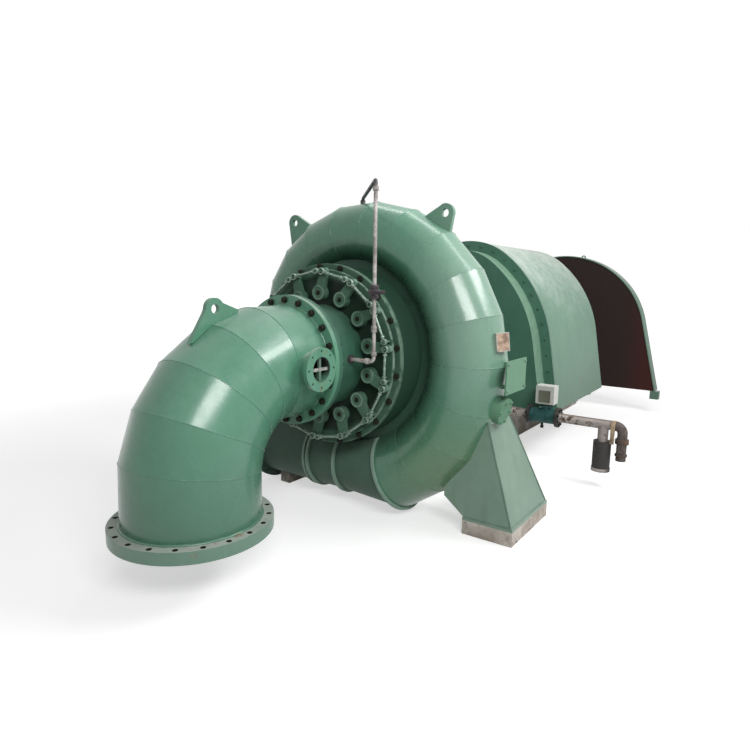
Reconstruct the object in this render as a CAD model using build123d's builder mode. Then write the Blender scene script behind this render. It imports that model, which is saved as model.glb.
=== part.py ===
"""Horizontal spiral-case water turbine set with draft elbow, gate gear, hood and end guard.

Millimetres, +Z up, +Y along the shaft from the elbow to the hood, +X to the side of the foot.
The origin is the centre of the lower face of the draft elbow's outlet flange.
"""

import os
from math import atan2, cos, degrees, hypot, radians, sin, sqrt

from build123d import *

os.makedirs("parts", exist_ok=True)

# Levels and places along the shaft
SHAFT_Z = 873.0
FLOOR_Z = -307.0
UPPER_FLANGE_Y = 748.0
LEVER_Y = 1063.0
SPIRAL_Y = 1547.0
SEAT_GAP = 0.3

# Draft elbow, a mitred bend that widens towards its outlet
OUTLET_RADIUS = 382.0
ELBOW_TOP_RADIUS = 356.0
ELBOW_WALL = 14.0
BEND_RADIUS = 600.0
MITRE_COUNT = 5
OUTLET_FLANGE_RADIUS = OUTLET_RADIUS + 65.0
OUTLET_FLANGE_THICKNESS = 70.0
OUTLET_BOLT_CIRCLE = OUTLET_RADIUS + 38.0
OUTLET_BOLT_COUNT = 20
OUTLET_BOLT_START = 5.8
OUTLET_HOLE_RADIUS = 15.0
UPPER_FLANGE_RADIUS = ELBOW_TOP_RADIUS + 64.0
UPPER_FLANGE_THICKNESS = 34.0
CONE_RADIUS = 350.0
CONE_WALL = 16.0

# Inspection nozzle on the side of the elbow
NOZZLE_Y = 594.0
NOZZLE_REACH = ELBOW_TOP_RADIUS + 59.0
NOZZLE_NECK_RADIUS = 95.0
NOZZLE_BORE_RADIUS = NOZZLE_NECK_RADIUS - 20.0
NOZZLE_FLANGE_RADIUS = NOZZLE_NECK_RADIUS + 35.0
NOZZLE_FLANGE_THICKNESS = 25.0
NOZZLE_BOLT_CIRCLE = NOZZLE_NECK_RADIUS + 13.0
NOZZLE_BOLT_COUNT = 8
NOZZLE_HOLE_RADIUS = 8.0
NOZZLE_ARM_WIDTH = 18.0
NOZZLE_ARM_THICKNESS = 12.0

# Gate gear: vane levers, links and the ring that turns them
VANE_COUNT = 14
VANE_CIRCLE = CONE_RADIUS + 81.0
BOSS_RADIUS = 52.0
BOSS_LENGTH = 50.0
BOSS_HOLE_RADIUS = 12.0
BOSS_HOLE_DEPTH = 12.0
ARM_LENGTH = 148.5
ARM_LEAN = 16.2
ARM_SETBACK = 5.0
ARM_THICKNESS = 34.0
ARM_ROOT_HALF = 40.0
ARM_TIP_RADIUS = 25.0
PIN_RADIUS = 9.0
PIN_REACH = 32.0
PIN_GAP_ANGLE = 4.86
LINK_SETBACK = 6.0
LINK_THICKNESS = 22.0
LINK_EYE_RADIUS = 23.0
LINK_CLEARANCE = 6.5
RING_EYE_RADIUS = 20.0
LINK_ROD_RADIUS = 8.0
RING_WIDTH = 55.0
RING_EDGE = 15.0
RING_GUIDE_GAP = 0.4
RING_THICKNESS = 22.0
RING_GAP = 10.0

# Distributor: front cover, closed ring between the covers, rear cover
COVER_FLANGE_PROUD = 38.0
COVER_FLANGE_SETBACK = 27.0
COVER_FLANGE_THICKNESS = 40.0
COVER_BARREL_RADIUS = 605.0
COVER_HOLE_INSET = 26.0
COVER_HOLE_COUNT = 21
COVER_HOLE_RADIUS = 17.0
COVER_HOLE_DEPTH = 26.0
STAY_RADIUS = 669.0
STAY_HALF_WIDTH = 110.0
REAR_COVER_THICKNESS = 63.0
REAR_HUB_RADIUS = 230.0
REAR_HUB_LENGTH = 130.0

# Spiral case of mitred rings, its section growing with the square root of the turn
INLET_SECTION_RADIUS = 290.0
FIRST_SECTION = 157.0
SPIRAL_END = -200.0
SECTION_STEP = 16.5
SECTION_COUNT = 20

# Inlet pipe along -X, its stiffening rings, end flange and saddle
PIPE_RADIUS = 260.0
PIPE_WALL = 14.0
PIPE_DROP = 850.0
PIPE_STRAIGHT_X = -30.0
PIPE_END_X = -892.0
PIPE_BORE_DEPTH = 640.0
RIB_RADIUS = PIPE_RADIUS + 22.0
RIB_WIDTH = 18.0
RIB_PLACES = (-345.0, -309.0, -48.0)
MITRE_RIB_PROUD = 18.0
INLET_FLANGE_RADIUS = PIPE_RADIUS + 60.0
INLET_FLANGE_THICKNESS = 32.0
INLET_BOLT_CIRCLE = PIPE_RADIUS + 32.0
INLET_BOLT_COUNT = 16
INLET_HOLE_RADIUS = 11.0
SADDLE_X = -710.0
SADDLE_LENGTH = 100.0
SADDLE_HALF_WIDTH = 105.0

# Foot on the +X side, its base plate and pad
FOOT_FRONT_Y = 1458.0
FOOT_DEPTH = 648.0
FOOT_OUTER_X = 1302.0
FOOT_INNER_X = 957.0
FOOT_BASE_Z = -208.0
FOOT_PLATE = 18.0
FOOT_APEX_X = 1103.0
FOOT_APEX_Z = 487.0
FOOT_CUT_X = 803.0
FOOT_CUT_Z = -69.0
FOOT_CUT_HEIGHT = 140.0
FOOT_CROWN_DEPTH = 345.0
FOOT_MARGIN = 14.0

# Lifting lugs
LUG_THICKNESS = 30.0
LUG_EYE_RADIUS = 27.0
LUG_CORNER_RADIUS = 62.0
LUG_HALF_BASE = 150.0
LUG_ROOT = 170.0
LUG_SHOULDER = 36.0
LUG_SHOULDER_HALF = 50.0
SPIRAL_LUG_EYES = ((-656.0, 964.0), (699.0, 963.0))
ELBOW_LUG_TURN = 66.517
ELBOW_LUG_RISE = 68.642
ELBOW_LUG_OUTLINE = ((-175, -180), (-72, -20), (-46, 38), (4, 58), (44, 36), (165, -8), (120, -130))

# Vent pipe from the crown of the spiral down to the cone, with its valve
VENT_RADIUS = 12.0
VENT_BEND = 28.0
VENT_X = 535.0
VENT_Y = 975.0
VENT_START_X = 10.0
VENT_TOP = 1105.0
VENT_RISE = 60.0
VENT_FOOT = 15.0
VALVE_HEIGHT = 446.0
VALVE_HALF_LENGTH = 42.0
VALVE_RADIUS = 24.0
VALVE_STEM_RADIUS = 10.0
VALVE_STEM_REACH = 40.0
COUPLING_HEIGHT = 219.0
COUPLING_RADIUS = 19.0
HANDLE_LENGTH = 105.0
HANDLE_WIDTH = 20.0
HANDLE_THICKNESS = 7.0
HANDLE_HUB_RADIUS = 14.0

# Plates on the +X side of the spiral
NAMEPLATE_ANGLE = 83.0
NAMEPLATE_TURN = 30.0
NAMEPLATE_WIDTH = 100.0
NAMEPLATE_HEIGHT = 120.0
NAMEPLATE_SHIFT = 88.0
NAMEPLATE_PROUD = 5.0
NAMEPLATE_PAD = 70.0
PANEL_X = 1222.0
PANEL_Y = 1415.0
PANEL_WIDTH = 323.0
PANEL_BOTTOM_Z = 692.0
PANEL_HEIGHT = 211.0
PANEL_THICKNESS = 10.0
PANEL_ARM_PLACE = 130.0
PANEL_ARM_INSET = 30.0
PANEL_ARM_WIDTH = 36.0
PANEL_ARM_HEIGHT = 22.0
PANEL_ARM_LENGTH = 110.0
HAND_HOLE_ANGLE = 105.0
HAND_HOLE_RADIUS = 92.0
HAND_HOLE_PROUD = 40.0

# Shaft, bearing pedestal, foundation beam and hood bearers
SHAFT_RADIUS = 80.0
BEARING_Y = 2300.0
BEARING_LENGTH = 260.0
BEARING_RADIUS = 190.0
BEARING_HALF_BASE = 280.0
BEAM_START_Y = 2130.0
BEAM_HALF_WIDTH = 300.0
BEAM_TOP_Z = 155.0
BEARER_HALF_LENGTH = 895.0
BEARER_WIDTH = 120.0
BEARER_PLACES = (3660.0, 4180.0, 4700.0)

# Hood: an arch of two tangent arcs on flared straight sides
HOOD_Y = 3301.0
HOOD_END_Y = 4916.0
HOOD_BASE_Z = 215.0
HOOD_CROWN = 921.0
HOOD_CROWN_RADIUS = 640.0
HOOD_SPRING = (863.0, 4.0)
HOOD_FLARE = 9.65
HOOD_RING_THICKNESS = 30.0
HOOD_SHELL_INSET = 8.0
DRUM_INSET = 95.0
DRUM_LENGTH = 190.0

# End guard: a shallow rim with a recessed panel
GUARD_Y = 6334.0
GUARD_DEPTH = 200.0
GUARD_BASE_Z = -6.0
GUARD_CROWN = 915.0
GUARD_CROWN_RADIUS = 800.0
GUARD_SPRING = (1086.0, 57.0)
GUARD_FLARE = 13.5
GUARD_WALL = 12.0
GUARD_RECESS = 12.0
GUARD_PANEL_THICKNESS = 8.0
GUARD_EYE_X = 255.0
GUARD_EYE_RADIUS = 30.0
GUARD_FOOT = 107.0

# Cooling-water pipe with its valve, and the pipes that hang from it
WATER_Y = HOOD_Y - DRUM_LENGTH - 99.0
WATER_Z = 229.0
WATER_RADIUS = 40.0
WATER_BEND = 58.0
WATER_START_X = 200.0
WATER_END_X = 1610.0
WATER_END_Z = -59.0
VALVE_LOW_X = 807.0
VALVE_HIGH_X = 1086.0
WATER_VALVE_RADIUS = 66.0
WATER_FLANGE_RADIUS = 88.0
WATER_FLANGE_THICKNESS = 26.0
ACTUATOR_LOW_X = 882.0
ACTUATOR_HIGH_X = 1043.0
ACTUATOR_HALF_DEPTH = 58.0
ACTUATOR_BASE_Z = 343.0
ACTUATOR_TOP_Z = 504.0
DROP_X = 1457.0
DROP_RADIUS = 42.0
SLEEVE_RADIUS = 72.0
SLEEVE_TOP_Z = 86.0
SLEEVE_BOTTOM_Z = -173.0

PIPE_Z = SHAFT_Z - PIPE_DROP
COVER_Y = LEVER_Y + BOSS_LENGTH + SEAT_GAP
STAY_FRONT_Y = SPIRAL_Y - STAY_HALF_WIDTH
REAR_Y = SPIRAL_Y + STAY_HALF_WIDTH
CONE_FLANGE_Y = UPPER_FLANGE_Y + UPPER_FLANGE_THICKNESS
CONE_Y = CONE_FLANGE_Y + UPPER_FLANGE_THICKNESS
DRUM_Y = HOOD_Y - DRUM_LENGTH


def cross_plane(y):
    """A plane across the shaft: local x is -X, local y is up from the shaft axis."""
    return Plane(origin=(0, y, SHAFT_Z), x_dir=(-1, 0, 0), z_dir=(0, 1, 0))


def side_plane(x, y, z):
    """A plane across X: local x is +Y, local y is up, extrusion goes towards +X."""
    return Plane(origin=(x, y, z), x_dir=(0, 1, 0), z_dir=(1, 0, 0))


def clock_plane(angle, radius, y):
    """A plane across the shaft, clockwise from the top: local x outwards, local y clockwise."""
    turn = radians(angle)
    place = (radius * sin(turn), y, SHAFT_Z + radius * cos(turn))
    return Plane(origin=place, x_dir=(sin(turn), 0, cos(turn)), z_dir=(0, 1, 0))


def arm_plane(angle, y):
    """A plane across the shaft at a vane's stem: local x along the leaning arm."""
    turn = radians(angle)
    lean = radians(angle + ARM_LEAN)
    place = (VANE_CIRCLE * sin(turn), y, SHAFT_Z + VANE_CIRCLE * cos(turn))
    return Plane(origin=place, x_dir=(sin(lean), 0, cos(lean)), z_dir=(0, 1, 0))


def finish(part, name):
    """Labels a finished piece and writes it."""
    part.label = name
    export_step(part, f"parts/{name}.step")


def elbow_body(growth):
    """The mitred bend as a solid, its radius grown or shrunk by a margin."""
    stations = [(Plane.XY.offset(OUTLET_FLANGE_THICKNESS), 0.0)]
    for mitre in range(MITRE_COUNT):
        share = (mitre + 0.5) / MITRE_COUNT
        turn = radians(90.0 * share)
        place = (0, BEND_RADIUS * (1 - cos(turn)), SHAFT_Z - BEND_RADIUS * (1 - sin(turn)))
        stations.append((Plane(origin=place, x_dir=(1, 0, 0), z_dir=(0, sin(turn), cos(turn))), share))
    end = Plane(origin=(0, UPPER_FLANGE_Y, SHAFT_Z), x_dir=(1, 0, 0), z_dir=(0, 1, 0))
    stations.append((end, 1.0))
    with BuildPart() as body:
        for plane, share in stations:
            with BuildSketch(plane):
                Circle(OUTLET_RADIUS + (ELBOW_TOP_RADIUS - OUTLET_RADIUS) * share + growth)
        loft(ruled=True)
    return body.part


def section_radius(angle):
    return INLET_SECTION_RADIUS * sqrt((angle - SPIRAL_END) / (FIRST_SECTION - SPIRAL_END))


def section_centre(angle):
    return STAY_RADIUS + sqrt(max(section_radius(angle) ** 2 - STAY_HALF_WIDTH**2, 0.0))


def section_plane(angle):
    turn = radians(angle)
    centre = section_centre(angle)
    place = (centre * sin(turn), SPIRAL_Y, SHAFT_Z + centre * cos(turn))
    return Plane(origin=place, x_dir=(sin(turn), 0, cos(turn)), z_dir=(cos(turn), 0, -sin(turn)))


def spiral_body(growth):
    """The mitred rings of the spiral as one solid, grown by a margin."""
    with BuildPart() as body:
        for section in range(SECTION_COUNT):
            angle = FIRST_SECTION - SECTION_STEP * section
            with BuildSketch(section_plane(angle)):
                Circle(section_radius(angle) + growth)
        loft(ruled=True)
    return body.part


def arch(crown, crown_radius, spring, flare, base, inset):
    """A face with a crown arc, two tangent side arcs and flared straight sides, drawn up from the shaft."""
    out_x = cos(radians(flare))
    out_y = sin(radians(flare))
    top = crown - inset
    small = crown_radius - inset
    foot_x = spring[0] - inset * out_x
    foot_y = spring[1] - inset * out_y
    rise = top - small - foot_y
    large = (small**2 - foot_x**2 - rise**2) / (2 * (rise * out_y - foot_x * out_x + small))
    centre_x = foot_x - large * out_x
    centre_y = foot_y - large * out_y
    joint = atan2(top - small - centre_y, -centre_x)
    joint_x = small * cos(joint)
    joint_y = top - small + small * sin(joint)
    half = (joint + radians(flare)) / 2
    side_x = centre_x + large * cos(half)
    side_y = centre_y + large * sin(half)
    base_x = foot_x + (foot_y - base) * out_y / out_x
    with BuildSketch(Plane.XY) as face:
        with BuildLine():
            Polyline((-foot_x, foot_y), (-base_x, base), (base_x, base), (foot_x, foot_y))
            ThreePointArc((foot_x, foot_y), (side_x, side_y), (joint_x, joint_y))
            ThreePointArc((joint_x, joint_y), (0, top), (-joint_x, joint_y))
            ThreePointArc((-joint_x, joint_y), (-side_x, side_y), (-foot_x, foot_y))
        make_face()
    return face.sketch


def hood_arch(inset):
    return arch(HOOD_CROWN, HOOD_CROWN_RADIUS, HOOD_SPRING, HOOD_FLARE, HOOD_BASE_Z - SHAFT_Z, inset)


def guard_arch(inset):
    return arch(GUARD_CROWN, GUARD_CROWN_RADIUS, GUARD_SPRING, GUARD_FLARE, GUARD_BASE_Z - SHAFT_Z, inset)


# Draft elbow: outlet flange, mitred shell, inlet flange
with BuildPart() as outlet_flange:
    with BuildSketch(Plane.XY):
        Circle(OUTLET_FLANGE_RADIUS)
        Circle(OUTLET_RADIUS - ELBOW_WALL, mode=Mode.SUBTRACT)
        with PolarLocations(OUTLET_BOLT_CIRCLE, OUTLET_BOLT_COUNT, start_angle=OUTLET_BOLT_START):
            Circle(OUTLET_HOLE_RADIUS, mode=Mode.SUBTRACT)
    extrude(amount=OUTLET_FLANGE_THICKNESS)
finish(outlet_flange.part, "outlet_flange")

with BuildPart() as draft_elbow:
    add(elbow_body(0))
    add(elbow_body(-ELBOW_WALL), mode=Mode.SUBTRACT)
    with BuildSketch(side_plane(0, NOZZLE_Y, SHAFT_Z)):
        Circle(NOZZLE_BORE_RADIUS)
    extrude(amount=NOZZLE_REACH, mode=Mode.SUBTRACT)
finish(draft_elbow.part, "draft_elbow")

with BuildPart() as elbow_inlet_flange:
    with BuildSketch(cross_plane(UPPER_FLANGE_Y)):
        Circle(UPPER_FLANGE_RADIUS)
        Circle(ELBOW_TOP_RADIUS - ELBOW_WALL, mode=Mode.SUBTRACT)
    extrude(amount=UPPER_FLANGE_THICKNESS)
finish(elbow_inlet_flange.part, "elbow_inlet_flange")

# Discharge cone with its own flange
with BuildPart() as discharge_cone:
    with BuildSketch(cross_plane(CONE_FLANGE_Y)):
        Circle(UPPER_FLANGE_RADIUS)
        Circle(CONE_RADIUS - CONE_WALL, mode=Mode.SUBTRACT)
    extrude(amount=UPPER_FLANGE_THICKNESS)
    with BuildSketch(cross_plane(CONE_Y)):
        Circle(CONE_RADIUS)
        Circle(CONE_RADIUS - CONE_WALL, mode=Mode.SUBTRACT)
    extrude(amount=COVER_Y - CONE_Y)
finish(discharge_cone.part, "discharge_cone")

# Inspection nozzle: neck, drilled flange and the cross in its opening
with BuildPart() as inspection_nozzle:
    with BuildSketch(side_plane(ELBOW_TOP_RADIUS / 2, NOZZLE_Y, SHAFT_Z)):
        Circle(NOZZLE_NECK_RADIUS)
    extrude(amount=NOZZLE_REACH - ELBOW_TOP_RADIUS / 2)
    with BuildSketch(side_plane(NOZZLE_REACH, NOZZLE_Y, SHAFT_Z)):
        Circle(NOZZLE_FLANGE_RADIUS)
        with PolarLocations(NOZZLE_BOLT_CIRCLE, NOZZLE_BOLT_COUNT):
            Circle(NOZZLE_HOLE_RADIUS, mode=Mode.SUBTRACT)
    extrude(amount=NOZZLE_FLANGE_THICKNESS)
    with BuildSketch(side_plane(0, NOZZLE_Y, SHAFT_Z)):
        Circle(NOZZLE_BORE_RADIUS)
    extrude(amount=NOZZLE_REACH + NOZZLE_FLANGE_THICKNESS, mode=Mode.SUBTRACT)
    add(elbow_body(SEAT_GAP), mode=Mode.SUBTRACT)
finish(inspection_nozzle.part, "inspection_nozzle")

with BuildPart() as nozzle_cross:
    with BuildSketch(side_plane(NOZZLE_REACH, NOZZLE_Y, SHAFT_Z)):
        Rectangle(2 * NOZZLE_BORE_RADIUS, NOZZLE_ARM_WIDTH)
        Rectangle(NOZZLE_ARM_WIDTH, 2 * NOZZLE_BORE_RADIUS)
        Circle(NOZZLE_BORE_RADIUS - SEAT_GAP, mode=Mode.INTERSECT)
    extrude(amount=NOZZLE_ARM_THICKNESS)
finish(nozzle_cross.part, "nozzle_cross")

# Elbow lug in the middle plane of the bend
LUG_SHARE = ELBOW_LUG_TURN / 90.0
LUG_REACH = BEND_RADIUS + OUTLET_RADIUS + (ELBOW_TOP_RADIUS - OUTLET_RADIUS) * LUG_SHARE + ELBOW_LUG_RISE
LUG_EYE_Y = BEND_RADIUS - LUG_REACH * cos(radians(ELBOW_LUG_TURN))
LUG_EYE_Z = SHAFT_Z - BEND_RADIUS + LUG_REACH * sin(radians(ELBOW_LUG_TURN))
with BuildPart() as elbow_lug:
    with BuildSketch(side_plane(-LUG_THICKNESS / 2, LUG_EYE_Y, LUG_EYE_Z)):
        with BuildLine():
            Polyline(*ELBOW_LUG_OUTLINE, close=True)
        make_face()
        Circle(LUG_CORNER_RADIUS)
        Circle(LUG_EYE_RADIUS, mode=Mode.SUBTRACT)
    extrude(amount=LUG_THICKNESS)
    add(elbow_body(SEAT_GAP), mode=Mode.SUBTRACT)
finish(elbow_lug.part, "elbow_lug")

# Circle of the lever pins, and the gate ring just outside it
VANE_PITCH = 360.0 / VANE_COUNT
TIP_X = ARM_LENGTH * cos(radians(ARM_LEAN))
TIP_Y = ARM_LENGTH * sin(radians(ARM_LEAN))
TIP_CIRCLE = hypot(VANE_CIRCLE + TIP_X, TIP_Y)
TIP_ANGLE = degrees(atan2(TIP_Y, VANE_CIRCLE + TIP_X))
RING_OUTER_RADIUS = TIP_CIRCLE + RING_EDGE
RING_BORE_RADIUS = RING_OUTER_RADIUS - RING_WIDTH

# Front cover with the guide of the gate ring and its ring of pockets
with BuildPart() as head_cover:
    with BuildSketch(cross_plane(COVER_Y)):
        Circle(RING_BORE_RADIUS - RING_GUIDE_GAP)
        Circle(CONE_RADIUS - CONE_WALL, mode=Mode.SUBTRACT)
    extrude(amount=COVER_FLANGE_SETBACK)
    with BuildSketch(cross_plane(COVER_Y + COVER_FLANGE_SETBACK)):
        Circle(RING_OUTER_RADIUS + COVER_FLANGE_PROUD)
        Circle(CONE_RADIUS - CONE_WALL, mode=Mode.SUBTRACT)
    extrude(amount=COVER_FLANGE_THICKNESS)
    with BuildSketch(cross_plane(COVER_Y + COVER_FLANGE_SETBACK)):
        Circle(COVER_BARREL_RADIUS)
        Circle(CONE_RADIUS - CONE_WALL, mode=Mode.SUBTRACT)
    extrude(amount=STAY_FRONT_Y - COVER_Y - COVER_FLANGE_SETBACK)
    with BuildSketch(cross_plane(COVER_Y + COVER_FLANGE_SETBACK)):
        with PolarLocations(RING_OUTER_RADIUS + COVER_FLANGE_PROUD - COVER_HOLE_INSET, COVER_HOLE_COUNT):
            Circle(COVER_HOLE_RADIUS)
    extrude(amount=COVER_HOLE_DEPTH, mode=Mode.SUBTRACT)
finish(head_cover.part, "head_cover")

# Vane levers: a boss on each stem, a leaning arm and the pin for its link
ARM_Y = LEVER_Y + ARM_SETBACK
PIN_Y = ARM_Y - PIN_REACH
LINK_Y = ARM_Y - LINK_SETBACK - LINK_THICKNESS
RING_Y = ARM_Y + ARM_THICKNESS + RING_GAP


def vane_lever(angle):
    with BuildPart() as lever:
        with BuildSketch(clock_plane(angle, VANE_CIRCLE, LEVER_Y)):
            Circle(BOSS_RADIUS)
        extrude(amount=BOSS_LENGTH)
        with BuildSketch(arm_plane(angle, ARM_Y)):
            with BuildLine():
                Polyline(
                    (0, -ARM_ROOT_HALF),
                    (ARM_LENGTH, -ARM_TIP_RADIUS),
                    (ARM_LENGTH, ARM_TIP_RADIUS),
                    (0, ARM_ROOT_HALF),
                    close=True,
                )
            make_face()
            with Locations((ARM_LENGTH, 0)):
                Circle(ARM_TIP_RADIUS)
        extrude(amount=ARM_THICKNESS)
        with BuildSketch(arm_plane(angle, PIN_Y)):
            with Locations((ARM_LENGTH, 0)):
                Circle(PIN_RADIUS)
        extrude(amount=PIN_REACH)
        with BuildSketch(clock_plane(angle, VANE_CIRCLE, LEVER_Y)):
            Circle(BOSS_HOLE_RADIUS)
        extrude(amount=BOSS_HOLE_DEPTH, mode=Mode.SUBTRACT)
    return lever.part


for vane in range(VANE_COUNT):
    finish(vane_lever(vane * VANE_PITCH), f"vane_lever_{vane + 1:02d}")

# Gate ring with one pin for each link
with BuildPart() as gate_ring:
    with BuildSketch(cross_plane(RING_Y)):
        Circle(RING_OUTER_RADIUS)
        Circle(RING_BORE_RADIUS, mode=Mode.SUBTRACT)
    extrude(amount=RING_THICKNESS)
    for vane in range(VANE_COUNT):
        with BuildSketch(clock_plane(vane * VANE_PITCH + TIP_ANGLE - PIN_GAP_ANGLE, TIP_CIRCLE, PIN_Y)):
            Circle(PIN_RADIUS)
        extrude(amount=RING_Y - PIN_Y)
finish(gate_ring.part, "gate_ring")

# Links from each lever's pin to the ring pin beside the next lever
LINK_TURN = VANE_PITCH - PIN_GAP_ANGLE
LINK_HALF = TIP_CIRCLE * sin(radians(LINK_TURN / 2))
LINK_CENTRE = TIP_CIRCLE * cos(radians(LINK_TURN / 2))
with BuildPart() as gate_links:
    for vane in range(VANE_COUNT):
        middle = vane * VANE_PITCH + TIP_ANGLE + LINK_TURN / 2
        with BuildSketch(clock_plane(middle, LINK_CENTRE, LINK_Y)):
            Rectangle(2 * LINK_ROD_RADIUS, 2 * LINK_HALF)
            with Locations((0, -LINK_HALF)):
                Circle(LINK_EYE_RADIUS)
                Circle(PIN_RADIUS + LINK_CLEARANCE, mode=Mode.SUBTRACT)
            with Locations((0, LINK_HALF)):
                Circle(RING_EYE_RADIUS)
                Circle(PIN_RADIUS + SEAT_GAP, mode=Mode.SUBTRACT)
        extrude(amount=LINK_THICKNESS)
finish(gate_links.part, "gate_links")

# Closed distributor between the covers
with BuildPart() as distributor:
    with BuildSketch(cross_plane(STAY_FRONT_Y)):
        Circle(STAY_RADIUS - SEAT_GAP)
    extrude(amount=2 * STAY_HALF_WIDTH)
finish(distributor.part, "distributor")

# Spiral case, cut away where the distributor and the inlet pipe stand
with BuildPart() as spiral_case:
    add(spiral_body(0))
    with BuildSketch(cross_plane(SPIRAL_Y)):
        Circle(STAY_RADIUS)
    extrude(amount=2 * INLET_SECTION_RADIUS, both=True, mode=Mode.SUBTRACT)
    with BuildSketch(side_plane(PIPE_END_X, SPIRAL_Y, PIPE_Z)):
        Circle(PIPE_RADIUS + SEAT_GAP)
    extrude(amount=PIPE_STRAIGHT_X - PIPE_END_X, mode=Mode.SUBTRACT)
finish(spiral_case.part, "spiral_case")

# Inlet pipe: a cone from the first section to the straight pipe, bored from its flange
with BuildPart() as inlet_pipe:
    with BuildSketch(side_plane(PIPE_STRAIGHT_X, SPIRAL_Y, PIPE_Z)):
        Circle(PIPE_RADIUS)
    with BuildSketch(section_plane(FIRST_SECTION)):
        Circle(section_radius(FIRST_SECTION))
    loft(ruled=True)
    with BuildSketch(side_plane(PIPE_END_X + INLET_FLANGE_THICKNESS, SPIRAL_Y, PIPE_Z)):
        Circle(PIPE_RADIUS)
    extrude(amount=PIPE_STRAIGHT_X - PIPE_END_X - INLET_FLANGE_THICKNESS)
    with BuildSketch(cross_plane(SPIRAL_Y)):
        Circle(STAY_RADIUS)
    extrude(amount=2 * INLET_SECTION_RADIUS, both=True, mode=Mode.SUBTRACT)
    with BuildSketch(side_plane(PIPE_END_X + INLET_FLANGE_THICKNESS, SPIRAL_Y, PIPE_Z)):
        Circle(PIPE_RADIUS - PIPE_WALL)
    extrude(amount=PIPE_BORE_DEPTH - INLET_FLANGE_THICKNESS, mode=Mode.SUBTRACT)
finish(inlet_pipe.part, "inlet_pipe")

with BuildPart() as inlet_flange:
    with BuildSketch(side_plane(PIPE_END_X, SPIRAL_Y, PIPE_Z)):
        Circle(INLET_FLANGE_RADIUS)
        Circle(PIPE_RADIUS - PIPE_WALL, mode=Mode.SUBTRACT)
        with PolarLocations(INLET_BOLT_CIRCLE, INLET_BOLT_COUNT, start_angle=180.0 / INLET_BOLT_COUNT):
            Circle(INLET_HOLE_RADIUS, mode=Mode.SUBTRACT)
    extrude(amount=INLET_FLANGE_THICKNESS)
finish(inlet_flange.part, "inlet_flange")

with BuildPart() as mitre_rib:
    with BuildSketch(section_plane(FIRST_SECTION).offset(-RIB_WIDTH / 2)):
        Circle(INLET_SECTION_RADIUS + MITRE_RIB_PROUD)
        Circle(INLET_SECTION_RADIUS - MITRE_RIB_PROUD, mode=Mode.SUBTRACT)
        with Locations((STAY_RADIUS + SEAT_GAP - section_centre(FIRST_SECTION), 0)):
            Rectangle(
                INLET_SECTION_RADIUS,
                2 * INLET_FLANGE_RADIUS,
                align=(Align.MAX, Align.CENTER),
                mode=Mode.SUBTRACT,
            )
    extrude(amount=RIB_WIDTH)
    add(spiral_body(SEAT_GAP), mode=Mode.SUBTRACT)
    add(inlet_pipe.part, mode=Mode.SUBTRACT)

with BuildPart() as inlet_ribs:
    for place in RIB_PLACES:
        with BuildSketch(side_plane(place - RIB_WIDTH / 2, SPIRAL_Y, PIPE_Z)):
            Circle(RIB_RADIUS)
            Circle(PIPE_RADIUS + SEAT_GAP, mode=Mode.SUBTRACT)
        extrude(amount=RIB_WIDTH)
    with BuildSketch(cross_plane(SPIRAL_Y - INLET_FLANGE_RADIUS)):
        Circle(STAY_RADIUS + SEAT_GAP)
    extrude(amount=2 * INLET_FLANGE_RADIUS, mode=Mode.SUBTRACT)
    add(spiral_body(SEAT_GAP), mode=Mode.SUBTRACT)
    add(mitre_rib.part)
finish(inlet_ribs.part, "inlet_ribs")

with BuildPart() as inlet_saddle:
    with BuildSketch(side_plane(SADDLE_X - SADDLE_LENGTH / 2, SPIRAL_Y, FLOOR_Z)):
        Rectangle(2 * SADDLE_HALF_WIDTH, PIPE_Z - FLOOR_Z, align=(Align.CENTER, Align.MIN))
        with Locations((0, PIPE_Z - FLOOR_Z)):
            Circle(PIPE_RADIUS + SEAT_GAP, mode=Mode.SUBTRACT)
    extrude(amount=SADDLE_LENGTH)
finish(inlet_saddle.part, "inlet_saddle")

# Lifting lugs in the middle plane of the spiral
with BuildPart() as spiral_lugs:
    for eye_x, eye_z in SPIRAL_LUG_EYES:
        turn = degrees(atan2(eye_x, eye_z))
        reach = hypot(eye_x, eye_z)
        with BuildSketch(clock_plane(turn, reach, SPIRAL_Y - LUG_THICKNESS / 2)):
            with BuildLine():
                Polyline(
                    (-LUG_ROOT, -LUG_HALF_BASE),
                    (LUG_SHOULDER, -LUG_SHOULDER_HALF),
                    (LUG_SHOULDER, LUG_SHOULDER_HALF),
                    (-LUG_ROOT, LUG_HALF_BASE),
                    close=True,
                )
            make_face()
            Circle(LUG_CORNER_RADIUS)
            Circle(LUG_EYE_RADIUS, mode=Mode.SUBTRACT)
        extrude(amount=LUG_THICKNESS)
    add(spiral_body(SEAT_GAP), mode=Mode.SUBTRACT)
finish(spiral_lugs.part, "spiral_lugs")

# Rear cover with its seal housing, and the shaft
with BuildPart() as rear_cover:
    with BuildSketch(cross_plane(REAR_Y)):
        Circle(COVER_BARREL_RADIUS)
        Circle(SHAFT_RADIUS + SEAT_GAP, mode=Mode.SUBTRACT)
    extrude(amount=REAR_COVER_THICKNESS)
    with BuildSketch(cross_plane(REAR_Y + REAR_COVER_THICKNESS)):
        Circle(REAR_HUB_RADIUS)
        Circle(SHAFT_RADIUS + SEAT_GAP, mode=Mode.SUBTRACT)
    extrude(amount=REAR_HUB_LENGTH)
finish(rear_cover.part, "rear_cover")

with BuildPart() as shaft:
    with BuildSketch(cross_plane(REAR_Y)):
        Circle(SHAFT_RADIUS)
    extrude(amount=DRUM_Y - REAR_Y)
finish(shaft.part, "shaft")

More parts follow.
